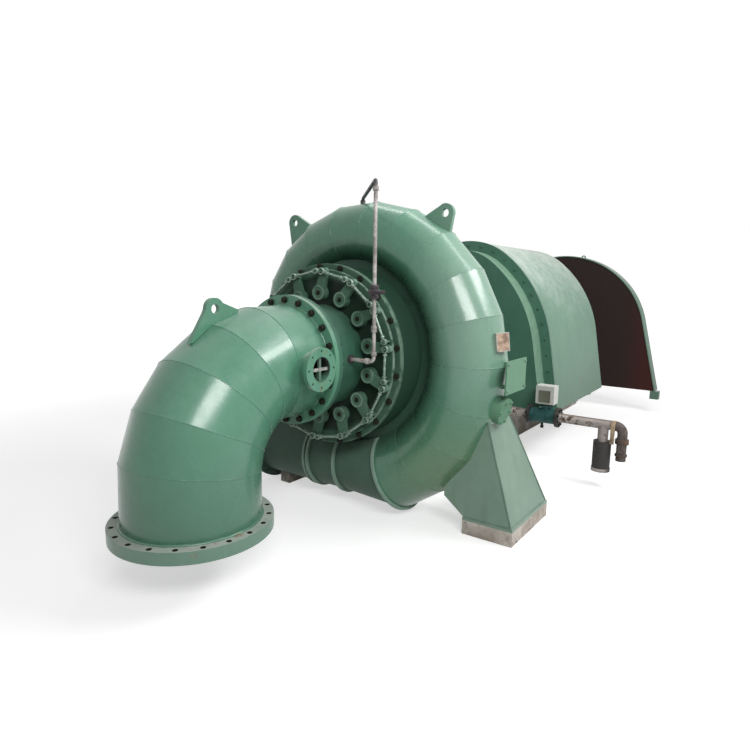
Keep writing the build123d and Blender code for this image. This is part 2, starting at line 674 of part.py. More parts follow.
# Bearing pedestal on the foundation beam
with BuildPart() as bearing_pedestal:
    with BuildSketch(cross_plane(BEARING_Y)):
        with BuildLine():
            Polyline(
                (-BEARING_HALF_BASE, BEAM_TOP_Z - SHAFT_Z),
                (BEARING_HALF_BASE, BEAM_TOP_Z - SHAFT_Z),
                (BEARING_RADIUS, 0),
                (-BEARING_RADIUS, 0),
                close=True,
            )
        make_face()
        Circle(BEARING_RADIUS)
        Circle(SHAFT_RADIUS + SEAT_GAP, mode=Mode.SUBTRACT)
    extrude(amount=BEARING_LENGTH)
finish(bearing_pedestal.part, "bearing_pedestal")

with BuildPart() as foundation_beam:
    with BuildSketch(Plane.XY.offset(FLOOR_Z)):
        with Locations((0, (BEAM_START_Y + GUARD_Y + GUARD_RECESS) / 2)):
            Rectangle(2 * BEAM_HALF_WIDTH, GUARD_Y + GUARD_RECESS - BEAM_START_Y)
    extrude(amount=BEAM_TOP_Z - FLOOR_Z)
finish(foundation_beam.part, "foundation_beam")

with BuildPart() as hood_bearers:
    with BuildSketch(Plane.XY.offset(BEAM_TOP_Z)):
        for place in BEARER_PLACES:
            with Locations((0, place)):
                Rectangle(2 * BEARER_HALF_LENGTH, BEARER_WIDTH)
    extrude(amount=HOOD_BASE_Z - BEAM_TOP_Z)
finish(hood_bearers.part, "hood_bearers")

# Foot, a welded box that hugs the lower right of the spiral, with base plate and pad
FOOT_SLOPE = (FOOT_OUTER_X - FOOT_APEX_X) / (FOOT_APEX_Z - FOOT_BASE_Z)
with BuildPart() as foot:
    with BuildSketch(cross_plane(FOOT_FRONT_Y)):
        with BuildLine():
            Polyline(
                (-FOOT_INNER_X, FOOT_BASE_Z + FOOT_PLATE - SHAFT_Z),
                (-FOOT_OUTER_X + FOOT_SLOPE * FOOT_PLATE, FOOT_BASE_Z + FOOT_PLATE - SHAFT_Z),
                (-FOOT_APEX_X, FOOT_APEX_Z - SHAFT_Z),
                (-FOOT_CUT_X, FOOT_CUT_Z - SHAFT_Z + FOOT_CUT_HEIGHT),
                (-FOOT_CUT_X, FOOT_CUT_Z - SHAFT_Z),
                close=True,
            )
        make_face()
    extrude(amount=FOOT_DEPTH)
    with BuildSketch(side_plane(FOOT_CUT_X, FOOT_FRONT_Y, FOOT_APEX_Z)):
        with BuildLine():
            Polyline(
                (FOOT_CROWN_DEPTH, 0),
                (FOOT_DEPTH, FOOT_BASE_Z + FOOT_PLATE - FOOT_APEX_Z),
                (2 * FOOT_DEPTH, FOOT_BASE_Z + FOOT_PLATE - FOOT_APEX_Z),
                (2 * FOOT_DEPTH, 0),
                close=True,
            )
        make_face()
    extrude(amount=FOOT_OUTER_X - FOOT_CUT_X, mode=Mode.SUBTRACT)
    add(spiral_body(SEAT_GAP), mode=Mode.SUBTRACT)
finish(foot.part, "foot_right")

with BuildPart() as foot_base:
    with BuildSketch(Plane.XY.offset(FOOT_BASE_Z)):
        with Locations(((FOOT_INNER_X + FOOT_OUTER_X) / 2, FOOT_FRONT_Y + FOOT_DEPTH / 2)):
            Rectangle(FOOT_OUTER_X - FOOT_INNER_X + FOOT_MARGIN, FOOT_DEPTH + FOOT_MARGIN)
    extrude(amount=FOOT_PLATE)
finish(foot_base.part, "foot_base_plate")

with BuildPart() as foot_pad:
    with BuildSketch(Plane.XY.offset(FLOOR_Z)):
        with Locations(((FOOT_INNER_X + FOOT_OUTER_X) / 2, FOOT_FRONT_Y + FOOT_DEPTH / 2)):
            Rectangle(FOOT_OUTER_X - FOOT_INNER_X + FOOT_MARGIN, FOOT_DEPTH + FOOT_MARGIN)
    extrude(amount=FOOT_BASE_Z - FLOOR_Z)
finish(foot_pad.part, "foot_pad")

# Vent pipe, its coupling, the valve and its handle
with BuildPart() as vent_pipe:
    with BuildLine() as vent_route:
        FilletPolyline(
            (VENT_START_X, SPIRAL_Y, SHAFT_Z + VENT_TOP - VENT_RISE),
            (VENT_START_X, SPIRAL_Y, SHAFT_Z + VENT_TOP),
            (VENT_X, VENT_Y, SHAFT_Z + VENT_TOP),
            (VENT_X, VENT_Y, SHAFT_Z + VENT_FOOT),
            (CONE_RADIUS - VENT_RADIUS, VENT_Y, SHAFT_Z + VENT_FOOT),
            radius=VENT_BEND,
        )
    with BuildSketch(Plane(origin=vent_route.line @ 0, z_dir=vent_route.line % 0)):
        Circle(VENT_RADIUS)
    sweep()
    with BuildSketch(Plane.XY.offset(SHAFT_Z + COUPLING_HEIGHT - COUPLING_RADIUS)):
        with Locations((VENT_X, VENT_Y)):
            Circle(COUPLING_RADIUS)
    extrude(amount=2 * COUPLING_RADIUS)
    with BuildSketch(cross_plane(CONE_Y)):
        Circle(CONE_RADIUS + SEAT_GAP)
    extrude(amount=COVER_Y - CONE_Y, mode=Mode.SUBTRACT)
    add(spiral_body(SEAT_GAP), mode=Mode.SUBTRACT)
finish(vent_pipe.part, "vent_pipe")

with BuildPart() as vent_valve:
    with BuildSketch(Plane.XY.offset(SHAFT_Z + VALVE_HEIGHT - VALVE_HALF_LENGTH)):
        with Locations((VENT_X, VENT_Y)):
            Circle(VALVE_RADIUS)
    extrude(amount=2 * VALVE_HALF_LENGTH)
    with BuildSketch(cross_plane(VENT_Y - VALVE_STEM_REACH)):
        with Locations((-VENT_X, VALVE_HEIGHT)):
            Circle(VALVE_STEM_RADIUS)
    extrude(amount=VALVE_STEM_REACH)
    with BuildSketch(Plane.XY.offset(SHAFT_Z + VALVE_HEIGHT - VALVE_HALF_LENGTH)):
        with Locations((VENT_X, VENT_Y)):
            Circle(VENT_RADIUS + SEAT_GAP)
    extrude(amount=2 * VALVE_HALF_LENGTH, mode=Mode.SUBTRACT)
finish(vent_valve.part, "vent_valve")

with BuildPart() as vent_valve_handle:
    with BuildSketch(cross_plane(VENT_Y - VALVE_STEM_REACH - SEAT_GAP - HANDLE_THICKNESS)):
        with Locations((-VENT_X, VALVE_HEIGHT)):
            Circle(HANDLE_HUB_RADIUS)
        with Locations((-VENT_X - HANDLE_LENGTH / 2, VALVE_HEIGHT)):
            Rectangle(HANDLE_LENGTH, HANDLE_WIDTH)
    extrude(amount=HANDLE_THICKNESS)
finish(vent_valve_handle.part, "vent_valve_handle")

# Nameplate, side panel and hand-hole cover on the +X side of the spiral
name_turn = radians(NAMEPLATE_ANGLE)
name_tilt = radians(NAMEPLATE_TURN)
name_out = Vector(sin(name_turn) * cos(name_tilt), -sin(name_tilt), cos(name_turn) * cos(name_tilt))
name_across = Vector(sin(name_turn) * sin(name_tilt), cos(name_tilt), cos(name_turn) * sin(name_tilt))
name_hub = Vector(section_centre(NAMEPLATE_ANGLE) * sin(name_turn), SPIRAL_Y, SHAFT_Z)
name_hub += Vector(0, 0, section_centre(NAMEPLATE_ANGLE) * cos(name_turn))
with BuildPart() as nameplate:
    face = name_hub + name_out * (section_radius(NAMEPLATE_ANGLE) + NAMEPLATE_PROUD)
    face += name_across * NAMEPLATE_SHIFT
    with BuildSketch(Plane(origin=face, x_dir=name_across, z_dir=name_out)):
        Rectangle(NAMEPLATE_WIDTH, NAMEPLATE_HEIGHT)
    extrude(amount=-NAMEPLATE_PAD)
    add(spiral_body(SEAT_GAP), mode=Mode.SUBTRACT)
finish(nameplate.part, "nameplate")

with BuildPart() as side_panel:
    with BuildSketch(side_plane(PANEL_X, PANEL_Y, PANEL_BOTTOM_Z)):
        Rectangle(PANEL_WIDTH, PANEL_HEIGHT, align=(Align.MIN, Align.MIN))
    extrude(amount=PANEL_THICKNESS)
    with BuildSketch(side_plane(PANEL_X, PANEL_Y, PANEL_BOTTOM_Z)):
        with Locations((PANEL_ARM_PLACE, PANEL_ARM_INSET), (PANEL_ARM_PLACE, PANEL_HEIGHT - PANEL_ARM_INSET)):
            Rectangle(PANEL_ARM_WIDTH, PANEL_ARM_HEIGHT)
    extrude(amount=-PANEL_ARM_LENGTH)
    add(spiral_body(SEAT_GAP), mode=Mode.SUBTRACT)
finish(side_panel.part, "side_panel")

hole_turn = radians(HAND_HOLE_ANGLE)
hole_rim = section_centre(HAND_HOLE_ANGLE) + section_radius(HAND_HOLE_ANGLE) + HAND_HOLE_PROUD
with BuildPart() as hand_hole_cover:
    place = (hole_rim * sin(hole_turn), SPIRAL_Y, SHAFT_Z + hole_rim * cos(hole_turn))
    with BuildSketch(Plane(origin=place, x_dir=(0, 1, 0), z_dir=(sin(hole_turn), 0, cos(hole_turn)))):
        Circle(HAND_HOLE_RADIUS)
    extrude(amount=-3 * HAND_HOLE_PROUD)
    add(spiral_body(SEAT_GAP), mode=Mode.SUBTRACT)
finish(hand_hole_cover.part, "hand_hole_cover")

# Hood: closed front, flange ring and long shell
with BuildPart() as hood_front:
    with BuildSketch(cross_plane(DRUM_Y)):
        add(hood_arch(DRUM_INSET))
    extrude(amount=DRUM_LENGTH)
finish(hood_front.part, "hood_front")

with BuildPart() as hood_ring:
    with BuildSketch(cross_plane(HOOD_Y)):
        add(hood_arch(0))
    extrude(amount=HOOD_RING_THICKNESS)
finish(hood_ring.part, "hood_ring")

with BuildPart() as hood_shell:
    with BuildSketch(cross_plane(HOOD_Y + HOOD_RING_THICKNESS)):
        add(hood_arch(HOOD_SHELL_INSET))
    extrude(amount=HOOD_END_Y - HOOD_Y - HOOD_RING_THICKNESS)
finish(hood_shell.part, "hood_shell")

# End guard: rim with feet and a lifting eye, and the recessed panel
with BuildPart() as guard_rim:
    with BuildSketch(cross_plane(GUARD_Y)):
        add(guard_arch(0))
        add(guard_arch(GUARD_WALL), mode=Mode.SUBTRACT)
    extrude(amount=GUARD_DEPTH)
    foot_x = GUARD_SPRING[0] + (SHAFT_Z + GUARD_SPRING[1] - GUARD_BASE_Z) * sin(radians(GUARD_FLARE))
    with BuildSketch(Plane.XY.offset(GUARD_BASE_Z)):
        with Locations((foot_x, GUARD_Y + GUARD_FOOT / 2), (-foot_x, GUARD_Y + GUARD_FOOT / 2)):
            Rectangle(GUARD_FOOT, GUARD_FOOT)
    extrude(amount=-GUARD_FOOT)
    with BuildSketch(cross_plane(GUARD_Y + GUARD_RECESS)):
        eye_z = GUARD_CROWN - GUARD_CROWN_RADIUS + sqrt(GUARD_CROWN_RADIUS**2 - GUARD_EYE_X**2)
        with Locations((-GUARD_EYE_X, eye_z + GUARD_EYE_RADIUS / 2)):
            Circle(GUARD_EYE_RADIUS)
            Circle(GUARD_EYE_RADIUS / 2, mode=Mode.SUBTRACT)
        add(guard_arch(GUARD_WALL / 2), mode=Mode.SUBTRACT)
    extrude(amount=GUARD_WALL)
finish(guard_rim.part, "guard_rim")

with BuildPart() as guard_panel:
    with BuildSketch(cross_plane(GUARD_Y + GUARD_RECESS)):
        add(guard_arch(GUARD_WALL + SEAT_GAP))
    extrude(amount=GUARD_PANEL_THICKNESS)
finish(guard_panel.part, "guard_panel")

# Cooling-water pipe, valve with actuator, and the sleeved drop
with BuildPart() as water_pipe:
    with BuildLine() as water_route:
        FilletPolyline(
            (WATER_START_X, WATER_Y, BEAM_TOP_Z),
            (WATER_START_X, WATER_Y, WATER_Z),
            (WATER_END_X, WATER_Y, WATER_Z),
            (WATER_END_X, WATER_Y, WATER_END_Z),
            radius=WATER_BEND,
        )
    with BuildSketch(Plane(origin=water_route.line @ 0, z_dir=water_route.line % 0)):
        Circle(WATER_RADIUS)
    sweep()
    with BuildSketch(Plane.XY.offset(SLEEVE_TOP_Z)):
        with Locations((DROP_X, WATER_Y)):
            Circle(DROP_RADIUS)
    extrude(amount=WATER_Z - SLEEVE_TOP_Z)
finish(water_pipe.part, "water_pipe")

with BuildPart() as water_valve:
    with BuildSketch(side_plane(VALVE_LOW_X, WATER_Y, WATER_Z)):
        Circle(WATER_VALVE_RADIUS)
    extrude(amount=VALVE_HIGH_X - VALVE_LOW_X)
    with BuildSketch(side_plane(VALVE_LOW_X, WATER_Y, WATER_Z)):
        Circle(WATER_FLANGE_RADIUS)
    extrude(amount=WATER_FLANGE_THICKNESS)
    with BuildSketch(side_plane(VALVE_HIGH_X - WATER_FLANGE_THICKNESS, WATER_Y, WATER_Z)):
        Circle(WATER_FLANGE_RADIUS)
    extrude(amount=WATER_FLANGE_THICKNESS)
    with BuildSketch(Plane.XY.offset(WATER_Z)):
        with Locations(((ACTUATOR_LOW_X + ACTUATOR_HIGH_X) / 2, WATER_Y)):
            Circle(WATER_RADIUS)
    extrude(amount=ACTUATOR_BASE_Z - WATER_Z)
    with BuildSketch(side_plane(VALVE_LOW_X, WATER_Y, WATER_Z)):
        Circle(WATER_RADIUS + SEAT_GAP)
    extrude(amount=VALVE_HIGH_X - VALVE_LOW_X, mode=Mode.SUBTRACT)
finish(water_valve.part, "water_valve")

with BuildPart() as valve_actuator_box:
    with BuildSketch(Plane.XY.offset(ACTUATOR_BASE_Z)):
        with Locations(((ACTUATOR_LOW_X + ACTUATOR_HIGH_X) / 2, WATER_Y)):
            Rectangle(ACTUATOR_HIGH_X - ACTUATOR_LOW_X, 2 * ACTUATOR_HALF_DEPTH)
    extrude(amount=ACTUATOR_TOP_Z - ACTUATOR_BASE_Z)
finish(valve_actuator_box.part, "valve_actuator_box")

with BuildPart() as pipe_sleeve:
    with BuildSketch(Plane.XY.offset(SLEEVE_BOTTOM_Z)):
        with Locations((DROP_X, WATER_Y)):
            Circle(SLEEVE_RADIUS)
    extrude(amount=SLEEVE_TOP_Z - SLEEVE_BOTTOM_Z)
finish(pipe_sleeve.part, "pipe_sleeve")
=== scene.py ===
from math import atan2, cos, degrees, hypot, pi, radians, sin, sqrt

import bpy
from mathutils import Matrix, Vector


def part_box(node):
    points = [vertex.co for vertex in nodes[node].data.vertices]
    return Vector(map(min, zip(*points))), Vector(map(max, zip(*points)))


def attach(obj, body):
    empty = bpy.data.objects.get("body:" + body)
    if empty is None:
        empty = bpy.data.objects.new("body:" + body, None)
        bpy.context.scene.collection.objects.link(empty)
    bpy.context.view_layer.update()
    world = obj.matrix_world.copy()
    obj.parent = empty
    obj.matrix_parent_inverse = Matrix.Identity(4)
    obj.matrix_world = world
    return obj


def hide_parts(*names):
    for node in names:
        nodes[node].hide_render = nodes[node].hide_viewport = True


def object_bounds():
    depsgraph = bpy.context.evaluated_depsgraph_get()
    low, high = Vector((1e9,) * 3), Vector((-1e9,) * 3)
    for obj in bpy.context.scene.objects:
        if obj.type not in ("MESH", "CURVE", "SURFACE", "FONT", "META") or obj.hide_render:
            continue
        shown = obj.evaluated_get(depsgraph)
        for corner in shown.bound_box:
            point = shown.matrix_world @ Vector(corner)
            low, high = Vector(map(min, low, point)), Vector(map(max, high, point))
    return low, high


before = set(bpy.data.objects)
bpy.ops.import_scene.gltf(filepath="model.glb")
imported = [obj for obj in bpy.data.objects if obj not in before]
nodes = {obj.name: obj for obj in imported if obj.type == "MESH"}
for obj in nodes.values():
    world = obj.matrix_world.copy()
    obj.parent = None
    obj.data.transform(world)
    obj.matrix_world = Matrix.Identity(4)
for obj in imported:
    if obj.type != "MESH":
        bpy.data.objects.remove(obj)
cad_low, cad_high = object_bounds()

# Draft elbow: a bend welded up from mitred rings of plate, brushed with sage green enamel.
# The welds stand proud at every mitre, and the enamel is dusty and streaked, with painted shade
# low down.


class Wire:
    """A shader socket. Operators between wires and numbers add Math nodes to its tree."""

    def __init__(self, tree, socket=None):
        self.tree = tree
        self.socket = socket

    def node(self, kind, settings, inputs, out=0):
        """Adds a node, sets it up, feeds its sockets and returns one of its outputs."""
        made = self.tree.nodes.new("ShaderNode" + kind)
        for key, value in settings.items():
            setattr(made, key, value)
        for key, value in inputs.items():
            if isinstance(value, Wire):
                self.tree.links.new(value.socket, made.inputs[key])
            else:
                made.inputs[key].default_value = value
        return Wire(self.tree, made.outputs[out])

    def sum_up(self, operation, first, second):
        return self.node("Math", {"operation": operation}, {0: first, 1: second})

    def __add__(self, other):
        return self.sum_up("ADD", self, other)

    def __radd__(self, other):
        return self.sum_up("ADD", other, self)

    def __sub__(self, other):
        return self.sum_up("SUBTRACT", self, other)

    def __rsub__(self, other):
        return self.sum_up("SUBTRACT", other, self)

    def __mul__(self, other):
        return self.sum_up("MULTIPLY", self, other)

    def __rmul__(self, other):
        return self.sum_up("MULTIPLY", other, self)

    def __abs__(self):
        return self.node("Math", {"operation": "ABSOLUTE"}, {0: self})

    def reach(self, other):
        """The distance from an axis that this wire and the other are measured from."""
        return self.node("Math", {"operation": "SQRT"}, {0: self * self + other * other})

    def ramp(self, low, high):
        """Goes from 0 at the low value to 1 at the high one."""
        return self.node(
            "MapRange", {"interpolation_type": "SMOOTHSTEP"}, {0: self, 1: low, 2: high}
        )

    def axis(self, letter):
        """One part of a vector, X, Y or Z."""
        return self.node("SeparateXYZ", {}, {0: self}, out=letter)

    def facing(self, letter):
        """One part of the way that the surface faces."""
        return self.node("NewGeometry", {}, {}, out="Normal").axis(letter)

    def stretched(self, x, y, z):
        return self.node("Mapping", {}, {0: self, 3: (x, y, z)})

    def noise(self, scale, detail, rough):
        return self.node(
            "TexNoise", {}, {"Vector": self, "Scale": scale, "Detail": detail, "Roughness": rough}
        )

    def mix(self, share, first, second):
        """Mixes two colours, each a colour wire or a plain RGB triple."""
        first, second = (c if isinstance(c, Wire) else (*c, 1) for c in (first, second))
        return self.node("Mix", {"data_type": "RGBA"}, {0: share, 6: first, 7: second}, out=2)

    def relief(self, strength, depth):
        """Fine bumps as high as this wire says."""
        return self.node("Bump", {}, {"Strength": strength, "Distance": depth, "Height": self})


def new_finish(name):
    """A fresh material with its main shader, a wire and the object's own coordinates."""
    material = bpy.data.materials.new(name)
    material.use_nodes = True
    tree = material.node_tree
    wire = Wire(tree)
    place = wire.node("TexCoord", {}, {}, out="Object")
    return material, tree.nodes["Principled BSDF"], wire, place


def connect(shader, **sockets):
    """Links what varies to a shader's sockets, and sets what doesn't on them."""
    for name, value in sockets.items():
        socket = shader.inputs[name.replace("_", " ")]
        if isinstance(value, Wire):
            value.tree.links.new(value.socket, socket)
        else:
            socket.default_value = value


def darker(colour, share):
    return [share * c for c in colour]


RUST_DARK = (0.075, 0.03, 0.014)
RUST_LIGHT = (0.26, 0.115, 0.05)


def enamel(
    name, colour, faded, dust,
    dusty=0.35, chips=0.5, streaks=0.4, rough=0.36, coat=0.25, gloss=0.5,
    tint=None, soil=0, holes=None,
):
    """Old brushed machine enamel: cloudy tone, dust on what faces up, run streaks, rusty chips.

    The tint, if there is one, is a colour that gathers low down on the +X side. Above it a painted
    pale sheen lightens the +X flank, and painted shade darkens what lies near the shaft. Soil is
    painted shade, darkest low down. Holes are two distances from the upright axis, between which
    every upright wall is painted near-black as the shade inside a bolt hole.
    """
    material, shader, wire, place = new_finish(name)
    clouds = place.noise(1.7, 5, 0.6)
    mottle = place.noise(11, 5, 0.62)
    grain = place.noise(95, 3, 0.6)
    runs = place.stretched(13, 13, 1.1).noise(1.0, 5, 0.6)
    upward = wire.facing("Z")
    level = place.axis("Z")
    paint = wire.mix((clouds * 0.65 + mottle * 0.35).ramp(0.3, 0.72), colour, faded)
    if soil:
        # Painted shade: darker towards the bottom, by the soil share.
        painted_low_shade = (1 - level.ramp(0.0, 0.8)) * (0.6 + clouds * 0.8) * soil
        paint = wire.mix(painted_low_shade, paint, darker(colour, 0.35))
    if tint:
        across = place.axis("X")
        low = (1 - level.ramp(0.0, 0.8)) * across.ramp(0.15, 1.0)
        paint = wire.mix(low * (0.45 + clouds * 0.7), paint, tint)
        height = level - axis_z
        # Painted light: the +X flank above the tint is lightened towards the dust colour.
        painted_light = across.ramp(0.45, 1.0) * height.ramp(-0.45, 0.2)
        paint = wire.mix(painted_light * 0.6, paint, SAGE_DUST)
        # Painted shade: the paint darkens close to the shaft.
        painted_throat_shade = (1 - height.reach(across).ramp(0.66, 0.86)) * 0.75
        paint = wire.mix(painted_throat_shade, paint, darker(colour, 0.25))
    # Dust settles on what faces up; on the hood shell it is also painted top light.
    dust_and_top_light = (upward * 0.75 + mottle * 0.5 + clouds * 0.3 - 0.35).ramp(0.25, 1.0) * dusty
    paint = wire.mix(dust_and_top_light, paint, dust)
    run_mask = (runs * 0.8 + mottle * 0.25).ramp(0.56, 0.74) * streaks
    paint = wire.mix(run_mask * 0.55, paint, darker(colour, 0.45))
    chip_field = place.noise(21, 6, 0.72) * 0.6 + place.noise(4.2, 3, 0.5) * 0.4
    more = 0.05 * chips
    chip = chip_field.ramp(0.655 - more, 0.675 - more)
    halo = chip_field.ramp(0.60 - more, 0.67 - more) * 0.35
    paint = wire.mix(halo, paint, RUST_LIGHT)
    paint = wire.mix(chip, paint, wire.mix(grain, RUST_DARK, RUST_LIGHT))
    if holes:
        inner, outer = holes
        distance = place.axis("X").reach(place.axis("Y"))
        # Painted shade: the upright walls of the bolt holes go near-black.
        hole_wall_shade = distance.ramp(inner - 0.001, inner) - distance.ramp(outer, outer + 0.001)
        upright = 1 - abs(upward).ramp(0.5, 0.7)
        paint = wire.mix(hole_wall_shade * upright * 0.95, paint, (0.014, 0.009, 0.008))
    connect(
        shader,
        Base_Color=paint,
        Roughness=rough + mottle * 0.14 + dust_and_top_light * 0.4 + chip * 0.4,
        Normal=(grain * 0.35 + mottle * 0.8 - chip * 1.1).relief(0.22, 0.004),
        Coat_Weight=coat * (1 - chip) * (1 - dust_and_top_light),
        Coat_Roughness=0.14,
        Specular_IOR_Level=gloss,
    )
    return material


def deselect():
    if bpy.context.mode != "OBJECT":
        bpy.ops.object.mode_set(mode="OBJECT")
    bpy.ops.object.select_all(action="DESELECT")


def take(piece):
    """Makes one piece the only thing selected."""
    deselect()
    piece.select_set(True)
    bpy.context.view_layer.objects.active = piece


def joined(pieces):
    """Joins pieces into the first one."""
    take(pieces[0])
    for piece in pieces:
        piece.select_set(True)
    if len(pieces) > 1:
        bpy.ops.object.join()
    return pieces[0]


def settle(piece, name, material, body="turbine_set", smooth=35):
    """Applies a piece's place, names it, paints it if it isn't yet, and hangs it on its body."""
    take(piece)
    bpy.ops.object.transform_apply()
    bpy.ops.object.shade_smooth_by_angle(angle=radians(smooth))
    piece.name = name
    piece.data.name = name
    if material:
        piece.data.materials.clear()
        piece.data.materials.append(material)
    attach(piece, body)
    return piece


def dress(material, *names):
    """Gives CAD nodes their finish."""
    for name in names:
        node = nodes[name]
        if node.material_slots:
            for slot in node.material_slots:
                slot.material = material
        else:
            node.data.materials.append(material)


def roughened(piece, offset, seed, cuts=0):
    """Cuts a piece's faces smaller, if asked, and shakes every point of it a little."""
    take(piece)
    bpy.ops.object.mode_set(mode="EDIT")
    bpy.ops.mesh.select_all(action="SELECT")
    if cuts:
        bpy.ops.mesh.subdivide(number_cuts=cuts)
    bpy.ops.transform.vertex_random(offset=offset, seed=seed)
    bpy.ops.object.mode_set(mode="OBJECT")
    return piece


def weld_ring(centre, normal, radius, bead, seed):
    """One hand-laid weld round a pipe: a thin ring roughened along its run."""
    deselect()
    bpy.ops.mesh.primitive_torus_add(
        major_radius=radius,
        minor_radius=bead,
        major_segments=120,
        minor_segments=8,
        location=centre,
        rotation=Vector(normal).to_track_quat("Z", "Y").to_euler(),
    )
    return roughened(bpy.context.object, bead * 0.3, seed)


SAGE = (0.072, 0.212, 0.134)
SAGE_FADED = (0.100, 0.262, 0.170)
SAGE_DUST = (0.24, 0.36, 0.28)
shaft_low, shaft_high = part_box("shaft")
axis_z = (shaft_low.z + shaft_high.z) / 2
sage_wear = dict(dusty=0.3, chips=-1.0, streaks=0.25, rough=0.20, coat=0.3, gloss=0.4)
# The sage enamel is darker low down as painted shade.
sage_enamel = enamel("sage enamel", SAGE, SAGE_FADED, SAGE_DUST, **sage_wear, soil=0.45)
elbow_bend = 0.600
elbow_outlet_radius = 0.382
elbow_inlet_radius = 0.356
elbow_mitres = 5
weld_bead = 0.0024
outlet_bead = 0.009
inlet_bead = 0.008
elbow_welds = []
for mitre in range(elbow_mitres):
    share = (mitre + 0.5) / elbow_mitres
    turn = radians(90 * share)
    centre = (0, elbow_bend * (1 - cos(turn)), axis_z - elbow_bend * (1 - sin(turn)))
    reach = elbow_outlet_radius + (elbow_inlet_radius - elbow_outlet_radius) * share
    elbow_welds.append(weld_ring(centre, (0, sin(turn), cos(turn)), reach, weld_bead, mitre))
flange_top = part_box("outlet_flange")[1].z
upper_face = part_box("elbow_inlet_flange")[0].y
elbow_welds += [
    weld_ring((0, 0, flange_top), (0, 0, 1), elbow_outlet_radius, outlet_bead, 7),
    weld_ring((0, upper_face, axis_z), (0, 1, 0), elbow_inlet_radius, inlet_bead, 8),
]
settle(joined(elbow_welds), "elbow_welds", sage_enamel, smooth=60)
dress(sage_enamel, "draft_elbow", "elbow_lug")

# Outlet flange: a thick turned ring whose edge and face have lost paint to rust and lime.
# Dust lies thick on its upper face, and the walls of its bolt holes are painted near-black as
# shade.
outlet_bolt_holes = (0.404, 0.436)
limed_flange = enamel(
    "limed flange enamel", (0.080, 0.180, 0.125), (0.125, 0.225, 0.170), (0.36, 0.38, 0.35),
    dusty=0.9, chips=0.25, streaks=0.7, holes=outlet_bolt_holes,
)
dress(limed_flange, "outlet_flange")

# Upper flanges: two turned rings drawn together by hexagon bolts with washers and nuts.
# The elbow's ring is worn and dusty; the bolts are bare steel, black with oil and rust.


def pick_faces(piece, wanted):
    """Leaves only the faces that pass the test selected, in edit mode."""
    take(piece)
    mesh = piece.data
    for part in (mesh.vertices, mesh.edges, mesh.polygons):
        part.foreach_set("select", [False] * len(part))
    for face in mesh.polygons:
        face.select = wanted(face)
    bpy.ops.object.mode_set(mode="EDIT")
    bpy.ops.mesh.select_mode(type="FACE")


def crowned_disc(sides, radius, height, base, inset, rise):
    """A disc whose top face is drawn in and raised, left in edit mode with that face selected."""
    deselect()
    bpy.ops.mesh.primitive_cylinder_add(
        vertices=sides, radius=radius, depth=height, location=(0, 0, base + height / 2)
    )
    disc = bpy.context.object
    pick_faces(disc, lambda face: face.normal.z > 0.9)
    bpy.ops.mesh.inset(thickness=inset)
    bpy.ops.transform.translate(value=(0, 0, rise))
    return disc


def hexagon_bolt(across, height, washer, thick, tail=0.0):
    """A hexagon head with a turned crown on a washer; a tail is the thread past a nut."""
    head = crowned_disc(6, across / sqrt(3), height, thick, across * 0.07, height * 0.12)
    if tail:
        bpy.ops.mesh.inset(thickness=across * 0.16)
        bpy.ops.mesh.extrude_region_move(TRANSFORM_OT_translate={"value": (0, 0, tail)})
    return joined([head, crowned_disc(20, washer, thick, 0, washer * 0.06, thick * 0.25)])


def own_copy(pattern):
    """A copy of a piece with a mesh of its own."""
    copy = pattern.copy()
    copy.data = pattern.data.copy()
    bpy.context.scene.collection.objects.link(copy)
    return copy


def copied(pattern, seats):
    """Copies a pattern to every seat, a point and the way it faces, each turned further round."""
    take(pattern)
    bpy.ops.object.transform_apply()
    copies = []
    for number, (point, facing) in enumerate(seats):
        copy = own_copy(pattern)
        turned = Vector(facing).to_track_quat("Z", "Y").to_matrix().to_4x4()
        spun = Matrix.Rotation(radians(37 * number), 4, "Z")
        copy.data.transform(Matrix.Translation(Vector(point)) @ turned @ spun)
        copies.append(copy)
    bpy.data.objects.remove(pattern)
    return copies


def set_out(pattern, seats):
    """Copies a pattern to every seat and joins the copies."""
    return joined(copied(pattern, seats))


def circle_seats(centre, radius, count, facing, first=0.0):
    """Seats round a circle whose axis is the way they face."""
    facing = Vector(facing)
    across = facing.orthogonal().normalized()
    other = facing.cross(across)
    seats = []
    for number in range(count):
        turn = radians(first + 360 * number / count)
        seats.append((Vector(centre) + radius * (cos(turn) * across + sin(turn) * other), facing))
    return seats


dark_bolts, shader, wire, place = new_finish("dark bolt steel")
crust = place.noise(60, 5, 0.6)
connect(
    shader,
    Base_Color=wire.mix(crust.ramp(0.35, 0.7), (0.006, 0.010, 0.007), (0.026, 0.021, 0.016)),
    Roughness=0.5 + crust * 0.3,
    Normal=crust.relief(0.3, 0.002),
    Specular_IOR_Level=0.15,
)
flange_bolts = 20
flange_bolt_circle = 0.388
flange_thickness = 0.034
cone_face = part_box("elbow_inlet_flange")[1].y + flange_thickness
heads = set_out(
    hexagon_bolt(across=0.032, height=0.016, washer=0.021, thick=0.004),
    circle_seats((0, upper_face, axis_z), flange_bolt_circle, flange_bolts, (0, -1, 0), first=9),
)
nuts = set_out(
    hexagon_bolt(across=0.032, height=0.018, washer=0.021, thick=0.004, tail=0.012),
    circle_seats((0, cone_face, axis_z), flange_bolt_circle, flange_bolts, (0, 1, 0), first=9),
)
settle(joined([heads, nuts]), "upper_flange_bolts", dark_bolts)
worn_flange = enamel(
    "worn flange enamel", SAGE, SAGE_FADED, (0.36, 0.42, 0.36), dusty=0.7, chips=0.1, streaks=0.5
)
dress(worn_flange, "elbow_inlet_flange")

